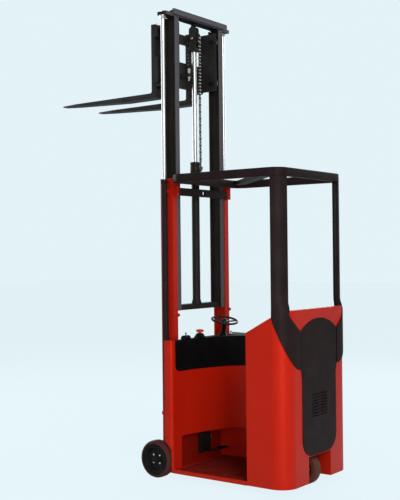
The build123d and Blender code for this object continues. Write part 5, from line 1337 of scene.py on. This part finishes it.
@dataclass
class Mast:
    """Cylinders, rods, sheave, chain and rollers of the telescopic mast.

    side_barrel, free_tube, gland and the post's profiles start at their own lower ends.
    """

    y: float = -50.0
    side_x: float = 376.0
    side_z: Pair = (480.0, 2148.0)
    side_barrel: Profile = ((0, 0), (20, 0), (22, 2), (22, 1662), (24, 1664), (25.5, 1668),
                            (25.5, 1689), (23, 1692), (15.3, 1692), (15.3, 1682), (0, 1682))
    side_rod: Pair = (15.0, 60.0)
    inner_top_z: float = 3375.0
    free_z: Pair = (1249.0, 2245.0)
    free_tube: Profile = ((0, 0), (38, 0), (38, 6), (31, 30), (30, 36), (30, 996), (0, 996))
    free_rod: Pair = (17.5, 20.0)
    gland: Profile = ((0, 0), (36, 0), (38, 3), (38, 48), (36.5, 50), (34, 50), (34, 56),
                      (36.5, 56), (38, 58), (38, 76), (35, 80), (17.9, 80), (17.9, 72), (0, 72))
    lug: Point = (16.0, 8.0, 30.0)
    lug_z: Pair = (22.0, 44.0)
    post_stud: Profile = bar(6, 4, 88)
    post_nut: Profile = bar(10.5, 8, 20)
    crosshead_z: float = 3168.0
    sheave_z: float = 3268.0
    cheek_half: float = 30.0
    cheek_rise: float = 62.0
    cheek_x: Pair = (16.0, 26.0)
    block_tall: float = 30.0
    pitch_r: float = 52.0
    groove: Pair = (4.0, -7.0)
    plate: Pair = (13.0, 3.6)
    plate_gap: float = 0.1
    pitch: float = 25.4
    wrap_links: int = 7
    front_low_z: float = 3052.0
    rear_low_z: float = 2333.0
    free_travel: float = 800.0
    sheave_pin: Profile = mirrored(((0, -32), (8.5, -32), (10, -30.5)))
    link_pin: Profile = mirrored(((0, -9.4), (3.2, -9.4), (4.0, -8.6)))

    def rod(self, name: str, node: str, x: float, steps: int, radius: float, low: float,
            high: float) -> None:
        """Plain round rod that stands at x between two heights in place of a node."""
        turned(name, bar(radius, low, high), (x, self.y, 0.0), steps=steps, nodes=[node])

    def cylinders(self) -> None:
        """Turned barrels and rods, and the free-lift cylinder's gland between its two."""
        foot, shoulder = self.side_z
        radius, sunk = self.side_rod
        for side, word in SIDES:
            x = side * self.side_x
            turned(f"side_barrel_{word}_tube", self.side_barrel, (x, self.y, foot),
                   nodes=[f"side_barrel_{word}"])
            self.rod(f"side_rod_{word}_bar", f"side_rod_{word}", x, 48, radius, shoulder - sunk,
                     self.inner_top_z)
        base, z = self.free_z
        turned("free_lift_tube", self.free_tube, (0.0, self.y, base), steps=56,
               nodes=["free_lift_barrel"])
        self.collar(z)
        radius, sunk = self.free_rod
        self.rod("free_lift_bar", "free_lift_rod", 0.0, 56, radius, z - sunk, self.crosshead_z)

    def collar(self, z: float) -> None:
        """Grooved gland of the free-lift cylinder with the chain's anchor post on a lug behind it.

        Args:
            z: where it sits on the barrel.
        """
        post, (half, behind, inset) = (0.0, self.y - self.pitch_r, z), self.lug
        low, high = (z + rise for rise in self.lug_z)
        head = Shape().lathe(self.gland, (0.0, self.y, z), Z_AXIS, 56)
        head.box((-half, post[1] - behind, low), (half, self.y - inset, high))
        head.lathe(self.post_stud, post, Z_AXIS, 20).lathe(self.post_nut, post, Z_AXIS, 6)
        head.piece("free_lift_collar", ["free_lift_gland"])

    def crosshead(self) -> None:
        """Two cheeks with round tops on a base block, and the grooved sheave between them."""
        y, z, base, half = self.y, self.sheave_z, self.crosshead_z, self.cheek_half
        near, far = self.cheek_x
        cheek = np.concatenate([[(y - half, base), (y + half, base)],
                                arc((y, z + self.cheek_rise), half, 0, 180, 20)])
        block = Shape().prism(cheek, near, far, Lie.YZ).prism(cheek, -far, -near, Lie.YZ)
        block.box((-far, y - half, base), (far, y + half, base + self.block_tall))
        block.piece("crosshead_fork", ["crosshead"], bevel=1.5)
        turned("sheave_pin", self.sheave_pin, (0, y, z), X_AXIS, 32, body="crosshead",
               slot="bare_steel")
        rim, root = (self.pitch_r + past for past in self.groove)
        wheel = mirrored(((10.1, -14), (24, -14), (26, -11), (root - 8, -11), (root - 6, -14),
                          (rim - 1, -14), (rim, -13), (rim, -11), (root + 1, -9.4), (root, -8.4)))
        turned("chain_sheave_wheel", wheel, (0, y, z), X_AXIS, 72, closed=True,
               nodes=["chain_sheave"], slot="chain_steel")

    def link(self, length: float) -> np.ndarray:
        """Outline of a link plate along one pitch: two round ends and a narrower waist."""
        r, reach = self.plate[0] / 2, length / 2
        return np.concatenate([arc((0, reach), r, -48, 228, 12), arc((0, -reach), r, 132, 408, 12)])

    def plates(self, outline: np.ndarray, odd: int) -> Shape:
        """Plates of an even or odd pitch, at depths that let neighbours interleave.

        Args:
            outline: the plate's (y, z) outline.
            odd: 1 for an odd pitch.

        Returns:
            A shape of two or three plates.
        """
        t, pack = self.plate[1], Shape()
        half = t / 2 - self.plate_gap
        for depth in ((-t, t) if odd else (-2 * t, 0.0, 2 * t)):
            pack.prism(outline, depth - half, depth + half, Lie.YZ)
        return pack

    def pin(self, y: float, z: float) -> Shape:
        """Rivet pin through a chain joint, with softly headed ends."""
        return Shape().lathe(self.link_pin, (0, y, z), X_AXIS, 12)

    def strand(self, y: float, low: float, high: float) -> tuple[Shape, Shape]:
        """Straight leaf chain: neighbouring pitches interleave, with a pin through each joint.

        Args:
            y: where the strand stands.
            low: its lower end.
            high: its upper end.

        Returns:
            The plates and the pins.
        """
        count = max(2, round((high - low) / self.pitch))
        step, links = (high - low) / count, Shape()
        for odd in (0, 1):
            here = low + (np.arange(odd, count, 2) + 0.5) * step
            links.join(self.plates(self.link(step) + (y, 0.0), odd).copies(here[:, None] * Z_AXIS))
        joints = low + np.arange(1, count) * step
        return links, self.pin(y, 0.0).copies(joints[:, None] * Z_AXIS)

    def chains(self) -> None:
        """Rear strand, each piece on its own copy of the mesh, and the front one, whose transform
        is baked.
        """
        y, low = self.y - self.pitch_r, self.rear_low_z
        high = self.sheave_z - self.pitch - self.plate[0]
        links, pins = self.strand(y, low, high)
        for piece in (links.piece("chain_rear_links", ["chain_rear"]),
                      pins.piece("chain_rear_pins", body="inner_mast", slot="bare_steel",
                                 look="pin_zinc")):
            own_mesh(piece)
        y, low = self.y + self.pitch_r, self.front_low_z
        links, pins = self.strand(y, low, high)
        drawn = ("carriage", "crosshead", (0.0, y * MM, low * MM), (0.0, y * MM, high * MM))
        links.piece("chain_front_links", ["chain_front"], stretch=drawn)
        pins.piece("chain_front_pins", body="carriage", slot="bare_steel", stretch=drawn,
                   look="pin_zinc")

    def wrap(self) -> None:
        """The chain's half turn over the sheave, and one pitch straight down on each side."""
        count, r, y, z = self.wrap_links, self.pitch_r, self.y, self.sheave_z
        links, pins = Shape(), Shape()
        chord = self.link(2 * r * math.sin(math.pi / count / 2)) + (r, 0.0)
        for number in range(count):
            turn = (number + 0.5) * math.pi / count
            spin = np.array([[math.cos(turn), math.sin(turn)], [-math.sin(turn), math.cos(turn)]])
            links.join(self.plates(chord @ spin + (y, z), number % 2))
        for joint in arc((y, z), r, 0, 180, count):
            pins.join(self.pin(*joint))
        for side, _ in SIDES:
            links.join(self.plates(self.link(self.pitch) + (y + side * r, z - self.pitch / 2), 1))
            pins.join(self.pin(y + side * r, z - self.pitch))
        links.piece("chain_wrap_links", ["chain_wrap"])
        pins.piece("chain_wrap_pins", body="crosshead", slot="bare_steel", look="pin_zinc")

    def rollers(self) -> None:
        """Crowned rollers with a face groove on each of the four axes, sized from their nodes."""
        for node in ("carriage_rollers_lower", "carriage_rollers_upper", "inner_mast_rollers",
                     "outer_mast_rollers"):
            low, high = (np.array(corner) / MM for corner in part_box(node))
            r, z = (high[2] - low[2]) / 2, (high[2] + low[2]) / 2
            mesh = frame["nodes"][node].data
            points = np.empty(3 * len(mesh.vertices))
            mesh.vertices.foreach_get("co", points)
            inner = abs(points[::3]).min() / MM
            face = mirrored(((14.1, 0), (r - 12, 0), (r - 10, 1.2), (r - 3, 1.2), (r - 2, 0),
                             (r - 0.8, 0.6), (r, 3)), high[0] - inner)
            pair = Shape()
            for side, _ in SIDES:
                pair.lathe(face, (side * inner, self.y, z), (side, 0, 0), 48, closed=True)
            pair.piece(f"{node}_turned", [node])

    def build(self) -> None:
        """Builds the mast's turned pieces and chain."""
        self.cylinders()
        self.crosshead()
        self.chains()
        self.wrap()
        self.rollers()


@dataclass
class Forks:
    """Two hook-on forks with a forged heel and a tapered blade."""

    spread: float = 422.0
    width: float = 100.0
    thick: float = 40.0
    crook_r: float = 16.0
    heel_r: float = 32.0
    knee: float = 48.0
    taper: float = 0.3
    tip_thick: float = 10.0
    tip_width: float = 56.0
    tip_run: float = 150.0
    shank_y: float = 120.0
    top_z: float = 2844.0
    shank_top_z: float = 3360.0
    tip_y: float = 1120.0
    bars: Pair = (2912.0, 3323.0)
    bar_y: float = 78.0
    hook: float = 22.0
    hook_thick: float = 15.4
    play: float = 0.5
    sunk: float = 1.0
    edge_r: float = 4.0
    edge_share: float = 0.3
    latch: Profile = ((0, 0), (13, 0), (13, 5), (10, 7), (0, 7))
    knob: Profile = ((0, 6), (5.5, 6), (5.5, 15), (9, 17), (9, 22), (7, 24), (0, 24))

    def lines(self) -> tuple[np.ndarray, np.ndarray, np.ndarray]:
        """Inner line, outer line and width down the shank, round the heel and along the blade.

        Returns:
            Inner (y, z) points, outer (y, z) points and the width at each.
        """
        front, knee_z = self.shank_y + self.thick, self.top_z + self.knee
        taper_y, point_y = front + (self.tip_y - front) * self.taper, self.tip_y - self.tip_run
        along = np.concatenate([np.linspace(taper_y, point_y, 8),
                                np.linspace(point_y, self.tip_y, 14)[1:]])
        depth = np.interp(along, [taper_y, self.tip_y], [self.thick, self.tip_thick])
        sides = []
        for y, low_z, r, blade_z in ((front, self.top_z, self.crook_r, self.top_z + 0 * depth),
                                     (self.shank_y, self.top_z - self.thick, self.heel_r,
                                      self.top_z - depth)):
            bend = arc((y + r, low_z + r), r, 180, 270, 10)
            sides.append(np.concatenate([[(y, self.shank_top_z), (y, knee_z)], bend,
                                         np.column_stack([along, blade_z])]))
        share = np.clip((sides[0][:, 0] - point_y) / self.tip_run, 0, 1)
        return (*sides, self.width + (self.tip_width - self.width) * share)

    def section(self, width: np.ndarray, deep: np.ndarray) -> tuple[np.ndarray, np.ndarray]:
        """Rounded rectangle of each section: four quarter circles a few millimetres in radius.

        Args:
            width: the sections' widths.
            deep: their thicknesses.

        Returns:
            Sideways places in millimetres and shares of the thickness from -0.5 to 0.5.
        """
        deep = deep[:, None]
        r = np.minimum(self.edge_r, deep * self.edge_share)
        turn = np.radians(np.concatenate([np.linspace(t, t + 90, 5) for t in (0, 90, 180, 270)]))
        side, rise = np.repeat(QUADRANTS, 5, axis=0).T
        across = side * (width[:, None] / 2 - r) + r * np.cos(turn)
        return across, (rise * (deep / 2 - r) + r * np.sin(turn)) / deep

    def build(self) -> None:
        """Rounded sections between the two lines, hooks behind the carriage bars, and a latch."""
        inner, outer, width = self.lines()
        middle, through = (inner + outer) / 2, inner - outer
        across, depth = self.section(width, np.linalg.norm(through, axis=1))
        run = middle[:, None] + depth[..., None] * through[:, None]
        half, front, shank = self.width / 2, self.bar_y - self.play, self.shank_y + self.sunk
        rear = front - self.hook_thick
        for side, word in SIDES:
            mid_x = side * self.spread / 2
            blade = Shape().loft(np.concatenate([(mid_x + across)[..., None], run], axis=-1))
            for bar, way in zip(self.bars, (-1, 1)):
                near, far, lap = (bar + way * reach for reach in (self.play, self.hook, -self.hook))
                hook = np.array([(shank, near), (front, near), (front, lap), (rear, lap),
                                 (rear, far), (shank, far)])
                blade.prism(hook, mid_x - half, mid_x + half, Lie.YZ)
            blade.piece(f"fork_{word}_forging", [f"fork_{word}"], bevel=1.2, smooth=40.0)
            spot = (mid_x, self.shank_y + self.thick / 2, self.shank_top_z)
            latch = Shape().lathe(self.latch, spot, Z_AXIS, 24).lathe(self.knob, spot, Z_AXIS, 24)
            latch.piece(f"fork_{word}_latch", body=f"fork_{word}", slot="bare_steel")


@dataclass
class Wheels:
    """Load wheels with dished rims, and the drive wheel.

    In its methods, full is a wheel's outer radius, r its rim's, and w half its width.
    """

    load_x: float = 420.0
    load_r: float = 135.0
    load_w: float = 84.0
    rim_r: float = 92.0
    dish: float = 29.0
    load_bolts: Pair = (40.0, 12.0)
    drive_y: float = -985.0
    drive_r: float = 115.0
    drive_w: float = 76.0
    hub_r: float = 78.0
    hub_set: float = 2.0
    hub_dish: float = 18.0
    drive_bolts: Pair = (50.0, 14.0)

    @staticmethod
    def bolt_ring(centre: Point, radius: float, first: float, count: int) -> np.ndarray:
        """Spots evenly round a circle that faces along X, the first at an angle in degrees."""
        ring = arc(centre[1:], radius, first, first + 360, count)[:-1]
        return np.column_stack([np.full(count, centre[0]), ring])

    def load(self) -> None:
        """Round-shouldered tyre, dished rim, hub cap and four bright bolts on each side."""
        w, full, r = self.load_w / 2, self.load_r, self.rim_r
        tyre = mirrored(((r, -w + 3), (r + 6, -w), (full - 26, -w), (full - 12, -w + 3),
                         (full - 4, -w + 9), (full - 0.8, -w + 18), (full, -w + 30)))
        rim = ((15.1, -w + 3), (36, -w + 3), (36, w - 41), (r - 16, w - 41), (r - 10, -w + 3),
               (r, -w + 3), (r, w - 3), (r - 4, w - 2.4), (r - 8, w - 4), (r - 12, w - 14),
               (r - 18, w - 29), (31, w - 29), (28, w - 26), (28, w - 12), (26, w - 10),
               (22, w - 10), (22, w - 6), (19, w - 4), (0, w - 4), (0, w - 8), (15.1, w - 8))
        ring_r, across = self.load_bolts
        for side, word in SIDES:
            axis, centre = (side, 0, 0), (side * self.load_x, 0, full)
            turned(f"load_tyre_{word}_rubber", tyre, centre, axis, 96, closed=True,
                   nodes=[f"load_tyre_{word}"], smooth=50.0)
            turned(f"load_rim_{word}_dish", rim, centre, axis, 72, closed=True,
                   nodes=[f"load_rim_{word}"])
            face = (side * (self.load_x + w - self.dish), 0, full)
            bolts = hex_bolts(self.bolt_ring(face, ring_r, 45, 4), axis, across)
            bolts.piece(f"load_rim_{word}_bolts", body=f"load_wheel_{word}", slot="bare_steel")

    def drive(self) -> None:
        """Square-shouldered tread on a flat hub with its bolt ring."""
        w, full, r = self.drive_w / 2, self.drive_r, self.hub_r
        centre, edge = (0, self.drive_y, full), w - self.hub_set
        face = self.hub_dish - edge
        tread = mirrored(((r, -w), (full - 8, -w), (full - 2, -w + 3), (full, -w + 8)))
        turned("drive_tyre_tread", tread, centre, X_AXIS, 96, closed=True, nodes=["drive_tyre"],
               smooth=50.0)
        hub = ((20.1, -edge), (34, -edge), (36, -edge + 4), (36, face), (64, face),
               (66, -edge + 2), (68, -edge), (r, -edge), (r, edge), (20.1, edge))
        turned("drive_hub_disc", hub, centre, X_AXIS, 72, closed=True, nodes=["drive_hub"])
        ring_r, across = self.drive_bolts
        spots = self.bolt_ring((face, self.drive_y, full), ring_r, 0, 6)
        bolts = hex_bolts(spots, LEFTWARDS, across)
        bolts.piece("drive_hub_bolts", body="drive_wheel", slot="bare_steel")

    def build(self) -> None:
        """Builds all three wheels."""
        self.load()
        self.drive()


@dataclass
class Fittings:
    """Small fixings and pads on the solids that keep their own shape.

    Spots of bolts and screws are (x, z) pairs that are repeated on both sides, and rod_nuts are
    pairs of a height and a width across flats.
    """

    mast: Mast
    cover_y: float = -1117.0
    cover_spots: Profile = ((212, 330), (212, 620), (226, 880), (200, 1075))
    cover_screw: Profile = ((0, -0.5), (7.5, -0.5), (7.5, 0.81), (6.0, 2.16), (3.375, 2.7),
                            (3.0, 0.81), (0, 0.81))
    bar_y: float = -132.0
    bar_spots: Profile = ((326, 2068), (326, 2112))
    upright_y: float = -107.0
    upright_spots: Profile = ((297, 1178), (353, 1187))
    # Black strip of painted shade in the seam beside the cover: x, y, lowest and highest z
    shade_strip: tuple[float, float, float, float] = (245.5, -1118.0, 850.0, 1090.0)
    shade_strip_section: Point = (9.0, 3.0, 1.4)
    rod_nuts: Profile = ((3400.0, 24.0), (3374.8, 42.0))
    anchor_y: float = 2.0
    anchor_z: Point = (2975.0, 3020.0, 3034.0)
    anchor_nut: Profile = ((6.6, 0), (11.5, 0), (12.5, 1), (12.5, 11), (11.5, 12), (6.6, 12))
    cheek_x: float = 228.0
    cheek_z: Pair = (2960.0, 3285.0)
    cheek_bolt: float = 30.0
    top_bar: Point = (-108.0, 3381.0, 3426.0)
    facing: Point = (335.0, 17.0, 5.0)
    facing_up: float = 6.0
    tie_half: float = 251.0
    tie: Profile = ((-100, 0), (-18, 0), (-18, 18), (-24, 18), (-24, 6), (-100, 6))
    stop: Profile = ((0, 0), (22, 0), (22, -17), (20, -19.5), (0, -19.5))
    pad: tuple[float, float, float, float, float] = (80.0, 170.0, -214.0, -160.0, 149.0)
    rib: Point = (4.5, 4.0, 1.4)
    rib_rise: float = 0.5
    rib_inset: Pair = (5.0, 7.0)
    rib_count: int = 6
    rod: tuple[float, float, float, float] = (43.0, -134.0, 228.0, 299.0)
    sleeve: Profile = ((9.05, 0), (11, 0), (11, 7), (9.8, 8))
    hinge: Pair = (435.0, -157.0)
    knuckle_z: Point = (170.0, 530.0, 890.0)
    knuckle: Profile = ((0, 0), (5, 0), (6, 1), (6, 22), (5.2, 23), (6, 24), (6, 46), (5, 47),
                        (0, 47))

    @staticmethod
    def both(y: float, spots: Profile) -> list[Point]:
        """The (x, z) spots at y on the left side, then on the right."""
        return [(side * x, y, z) for side, _ in SIDES for x, z in spots]

    def bolts(self) -> None:
        """Screws of the cover, bolts of the head bar and uprights, and black strips of painted
        shade in the seams beside the cover.
        """
        screws = Shape().lathe(self.cover_screw, ORIGIN, BACKWARDS, 16)
        screws.copies(np.array(self.both(self.cover_y, self.cover_spots), float))
        screws.piece("rear_cover_screws", body="truck", slot="black_iron")
        for name, y, spots, across in (("head_bar_bolts", self.bar_y, self.bar_spots, 18.0),
                                       ("upright_bolts", self.upright_y, self.upright_spots, 20.0)):
            heads = hex_bolts(self.both(y, spots), BACKWARDS, across)
            heads.piece(name, body="truck", slot="red_paint")
        # Painted shade: thin black strips stand in for the shadow in the seams between the cover
        # and the posts' feet
        x, y, low, high = self.shade_strip
        line = np.array([-x, y, 0.0]) + np.linspace(low, high, 12)[:, None] * Z_AXIS
        shade_strips = Shape().sweep(rounded(*self.shade_strip_section, 4), line, Y_AXIS)
        shade_strips.copies(np.array([ORIGIN, (2 * x, 0.0, 0.0)]))
        shade_strips.piece("rear_cover_shade_strips", body="truck", slot="black_plastic")

    def nuts(self) -> None:
        """Nuts above and below the rods' ends, on the chain's anchor and on the carriage."""
        nuts = Shape()
        for axis, (z, across) in zip((Z_AXIS, DOWNWARDS), self.rod_nuts):
            nuts.join(hex_bolts(self.both(self.mast.y, [(self.mast.side_x, z)]), axis, across))
        nuts.piece("side_rod_nuts", body="inner_mast", slot="bare_steel")
        nuts = Shape()
        for z in self.anchor_z:
            nuts.lathe(self.anchor_nut, (0, self.anchor_y, z), Z_AXIS, 6, closed=True)
        nuts.piece("chain_anchor_nuts", body="carriage", slot="bare_steel")
        heads = Shape()
        for side, _ in SIDES:
            spots = [(side * self.cheek_x, self.mast.y, z) for z in self.cheek_z]
            heads.join(hex_bolts(spots, (-side, 0, 0), self.cheek_bolt))
        heads.piece("carriage_bolts", body="carriage", slot="black_iron")

    def head(self) -> None:
        """Facing behind the top bar, a tie plate with a lip under it, and the crosshead's stop."""
        (rear, low, high), (half, thick, r) = self.top_bar, self.facing
        edge = low + self.facing_up
        facing = rounded(2 * half, high - edge, r) + (0.0, (high + edge) / 2)
        board = Shape().prism(facing, rear - thick, rear, Lie.XZ)
        # The facing lies wholly behind mast_grey's highlight line, so all of it takes that painted
        # highlight
        board.piece("top_bar_facing", body="inner_mast", slot="mast_grey", bevel=1.5)
        tie = np.array(self.tie) + (0.0, low)
        plate = Shape().prism(tie, -self.tie_half, self.tie_half, Lie.YZ)
        plate.piece("top_bar_tie", body="inner_mast", slot="black_iron", bevel=0.8)
        turned("crosshead_stop", self.stop, (0, self.mast.y, low), steps=32, body="inner_mast",
               slot="black_iron")

    def pads(self) -> None:
        """Ribs on the pedal, the bright sleeve of its rod, and knuckles on the door's hinge."""
        (x0, x1, y0, y1, z), (inset_x, inset_y) = self.pad, self.rib_inset
        rib = rounded(*self.rib, 3) + (0.0, z + self.rib_rise)
        ribs = Shape().prism(rib, x0 + inset_x, x1 - inset_x, Lie.YZ)
        ribs.copies(np.linspace(y0 + inset_y, y1 - inset_y, self.rib_count)[:, None] * Y_AXIS)
        ribs.piece("pedal_pad_ribs", body="brake_pedal", slot="black_plastic")
        x, y, low, high = self.rod
        turned("pedal_rod_sleeve", mirrored(self.sleeve, high - low), (x, y, low), steps=32,
               closed=True, body="truck", slot="bare_steel")
        knuckles = Shape()
        for z in self.knuckle_z:
            knuckles.lathe(self.knuckle, (*self.hinge, z), Z_AXIS, 24)
        knuckles.piece("battery_door_knuckles", body="battery_door", slot="red_paint")

    def build(self) -> None:
        """Builds the fixings and pads."""
        self.bolts()
        self.nuts()
        self.head()
        self.pads()


@dataclass(frozen=True)
class Lamp:
    """Square area light: place, aim and size in metres, power in watts, beam in degrees."""

    name: str
    place: Point
    aim: Point
    power: float
    size: float
    beam: float = 180.0


@dataclass
class Studio:
    """Camera at the photograph's place, soft lights, pale floor and background, in metres."""

    place: Point = (-5.675, -4.361, 1.625)
    yaw: float = 53.018
    pitch: float = 0.2415
    roll: float = -0.6032
    lens: float = 67.18
    sensor: float = 36.0
    backdrop: Colour = (0.774, 0.891, 0.932)
    floor_half: float = 40.0
    floor_shade: float = 0.97
    floor_seen: float = 0.93
    floor_glow: float = 1.04
    floor_clouds: Pair = (3.0, 4.0)
    floor_rough: float = 0.9
    ambient: float = 0.10
    lamps: tuple[Lamp, ...] = (
        Lamp("key", (-3.6, -5.9, 4.6), (0.0, -0.4, 1.2), 340.0, 3.6),
        Lamp("sheen", (-4.9, -5.3, 0.95), (-0.3, -1.0, 0.75), 15.0, 1.6, 60.0),
        Lamp("left", (-6.6, -1.2, 2.0), (0.0, -0.4, 0.7), 60.0, 3.0),
        Lamp("front", (-0.5, 6.5, 4.0), (0.0, 0.0, 1.6), 240.0, 4.0),
        Lamp("right", (6.0, 0.5, 4.5), (0.0, -0.3, 1.4), 260.0, 4.0))

    @staticmethod
    def stand(name: str, data: bpy.types.ID, place: Point, right: np.ndarray,
              ahead: np.ndarray) -> bpy.types.Object:
        """Puts a camera or lamp into the scene.

        Args:
            name: the object's name.
            data: the camera's or lamp's own data.
            place: where it stands.
            right: unit vector to its right.
            ahead: unit vector along which it looks.

        Returns:
            The object.
        """
        thing = bpy.data.objects.new(name, data)
        turn = np.eye(4)
        turn[:3] = np.column_stack([right, np.cross(right, ahead), -ahead, place])
        thing.matrix_world = Matrix(turn.tolist())
        bpy.context.scene.collection.objects.link(thing)
        return thing

    def camera(self) -> None:
        """Looks along yaw from +Y towards +X, tipped up by pitch and rolled about the view."""
        yaw, pitch, roll = (math.radians(a) for a in (self.yaw, self.pitch, self.roll))
        ahead = np.array([math.sin(yaw) * math.cos(pitch), math.cos(yaw) * math.cos(pitch),
                          math.sin(pitch)])
        flat = np.array([math.cos(yaw), -math.sin(yaw), 0.0])
        right = math.cos(roll) * flat + math.sin(roll) * np.cross(flat, ahead)
        data = bpy.data.cameras.new("camera")
        data.lens, data.sensor_width, data.sensor_fit = self.lens, self.sensor, "AUTO"
        bpy.context.scene.camera = self.stand("camera", data, self.place, right, ahead)

    def light(self, lamp: Lamp) -> None:
        """Stands an area light at its place, aimed at its point.

        Args:
            lamp: the light.
        """
        data = bpy.data.lights.new(lamp.name, "AREA")
        data.energy, data.size, data.spread = lamp.power, lamp.size, math.radians(lamp.beam)
        ahead = np.subtract(lamp.aim, lamp.place)
        ahead /= np.linalg.norm(ahead)
        right = np.cross(ahead, Z_AXIS)
        self.stand(lamp.name, data, lamp.place, right / np.linalg.norm(right), ahead)

    def floor(self) -> None:
        """Wide pale floor whose own colour the camera sees, darkened by the object's shadow."""
        mesh = bpy.data.meshes.new("floor")
        half = self.floor_half
        mesh.from_pydata([(-half, -half, 0), (half, -half, 0), (half, half, 0), (-half, half, 0)],
                         [], [(0, 1, 2, 3)])
        ground = bpy.data.objects.new("floor", mesh)
        bpy.context.scene.collection.objects.link(ground)
        surface = Surface("pale_floor")
        shade = tuple(c * self.floor_shade for c in self.backdrop)
        clouds = surface.noise(*self.floor_clouds)
        surface.set({"Base Color": surface.mix(self.backdrop, shade, clouds),
                     "Roughness": self.floor_rough})
        glow = surface.add("ShaderNodeEmission", None,
                           {"Color": self.backdrop, "Strength": self.floor_glow})
        surface.close("OUTPUT_MATERIAL", surface.ray("Is Camera Ray") * self.floor_seen,
                      Value(surface, surface.shader.outputs[0]), glow)
        mesh.materials.append(surface.material)

    def world(self) -> None:
        """Even pale surroundings: the backdrop's colour where seen, plain soft light elsewhere."""
        world = bpy.data.worlds.new("surroundings")
        bpy.context.scene.world = world
        world.use_nodes = True
        tree = Tree(world.node_tree)
        plain = tree.typed("BACKGROUND")
        tree.feed(plain.inputs["Color"], (1.0, 1.0, 1.0))
        tree.feed(plain.inputs["Strength"], self.ambient)
        seen = tree.add("ShaderNodeBackground", None, {"Color": self.backdrop, "Strength": 1.0})
        either = tree.ray("Is Camera Ray").math("MAXIMUM", tree.ray("Is Glossy Ray"))
        tree.close("OUTPUT_WORLD", either, Value(tree, plain.outputs[0]), seen)

    def build(self) -> None:
        """Sets up camera, surroundings, floor, lamps and the plain view transform."""
        self.camera()
        self.world()
        self.floor()
        for lamp in self.lamps:
            self.light(lamp)
        bpy.context.scene.view_settings.view_transform = "Standard"


def dress_nodes() -> None:
    """Gives every CAD node that still shows its finish: its slot's own or a shaded one."""
    for name, node in frame["nodes"].items():
        if node.hide_render:
            continue
        finish = SHADED_NODES.get(name, SLOT_OF[name])
        for place in node.material_slots:
            place.material = material_of(finish)
        LOG.info("%s keeps its solid in %s", name, finish)


def main() -> None:
    """Builds the sub-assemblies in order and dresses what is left."""
    logging.basicConfig(level=logging.INFO, format="%(name)s: %(message)s")
    Studio().build()
    well, mast = Well(), Mast()
    for part in (Bodywork(well), OverheadGuard(), Console(well), mast, Forks(), Wheels(),
                 Fittings(mast)):
        part.build()
    dress_nodes()
    bpy.context.view_layer.update()


if __name__ == "__main__":
    main()
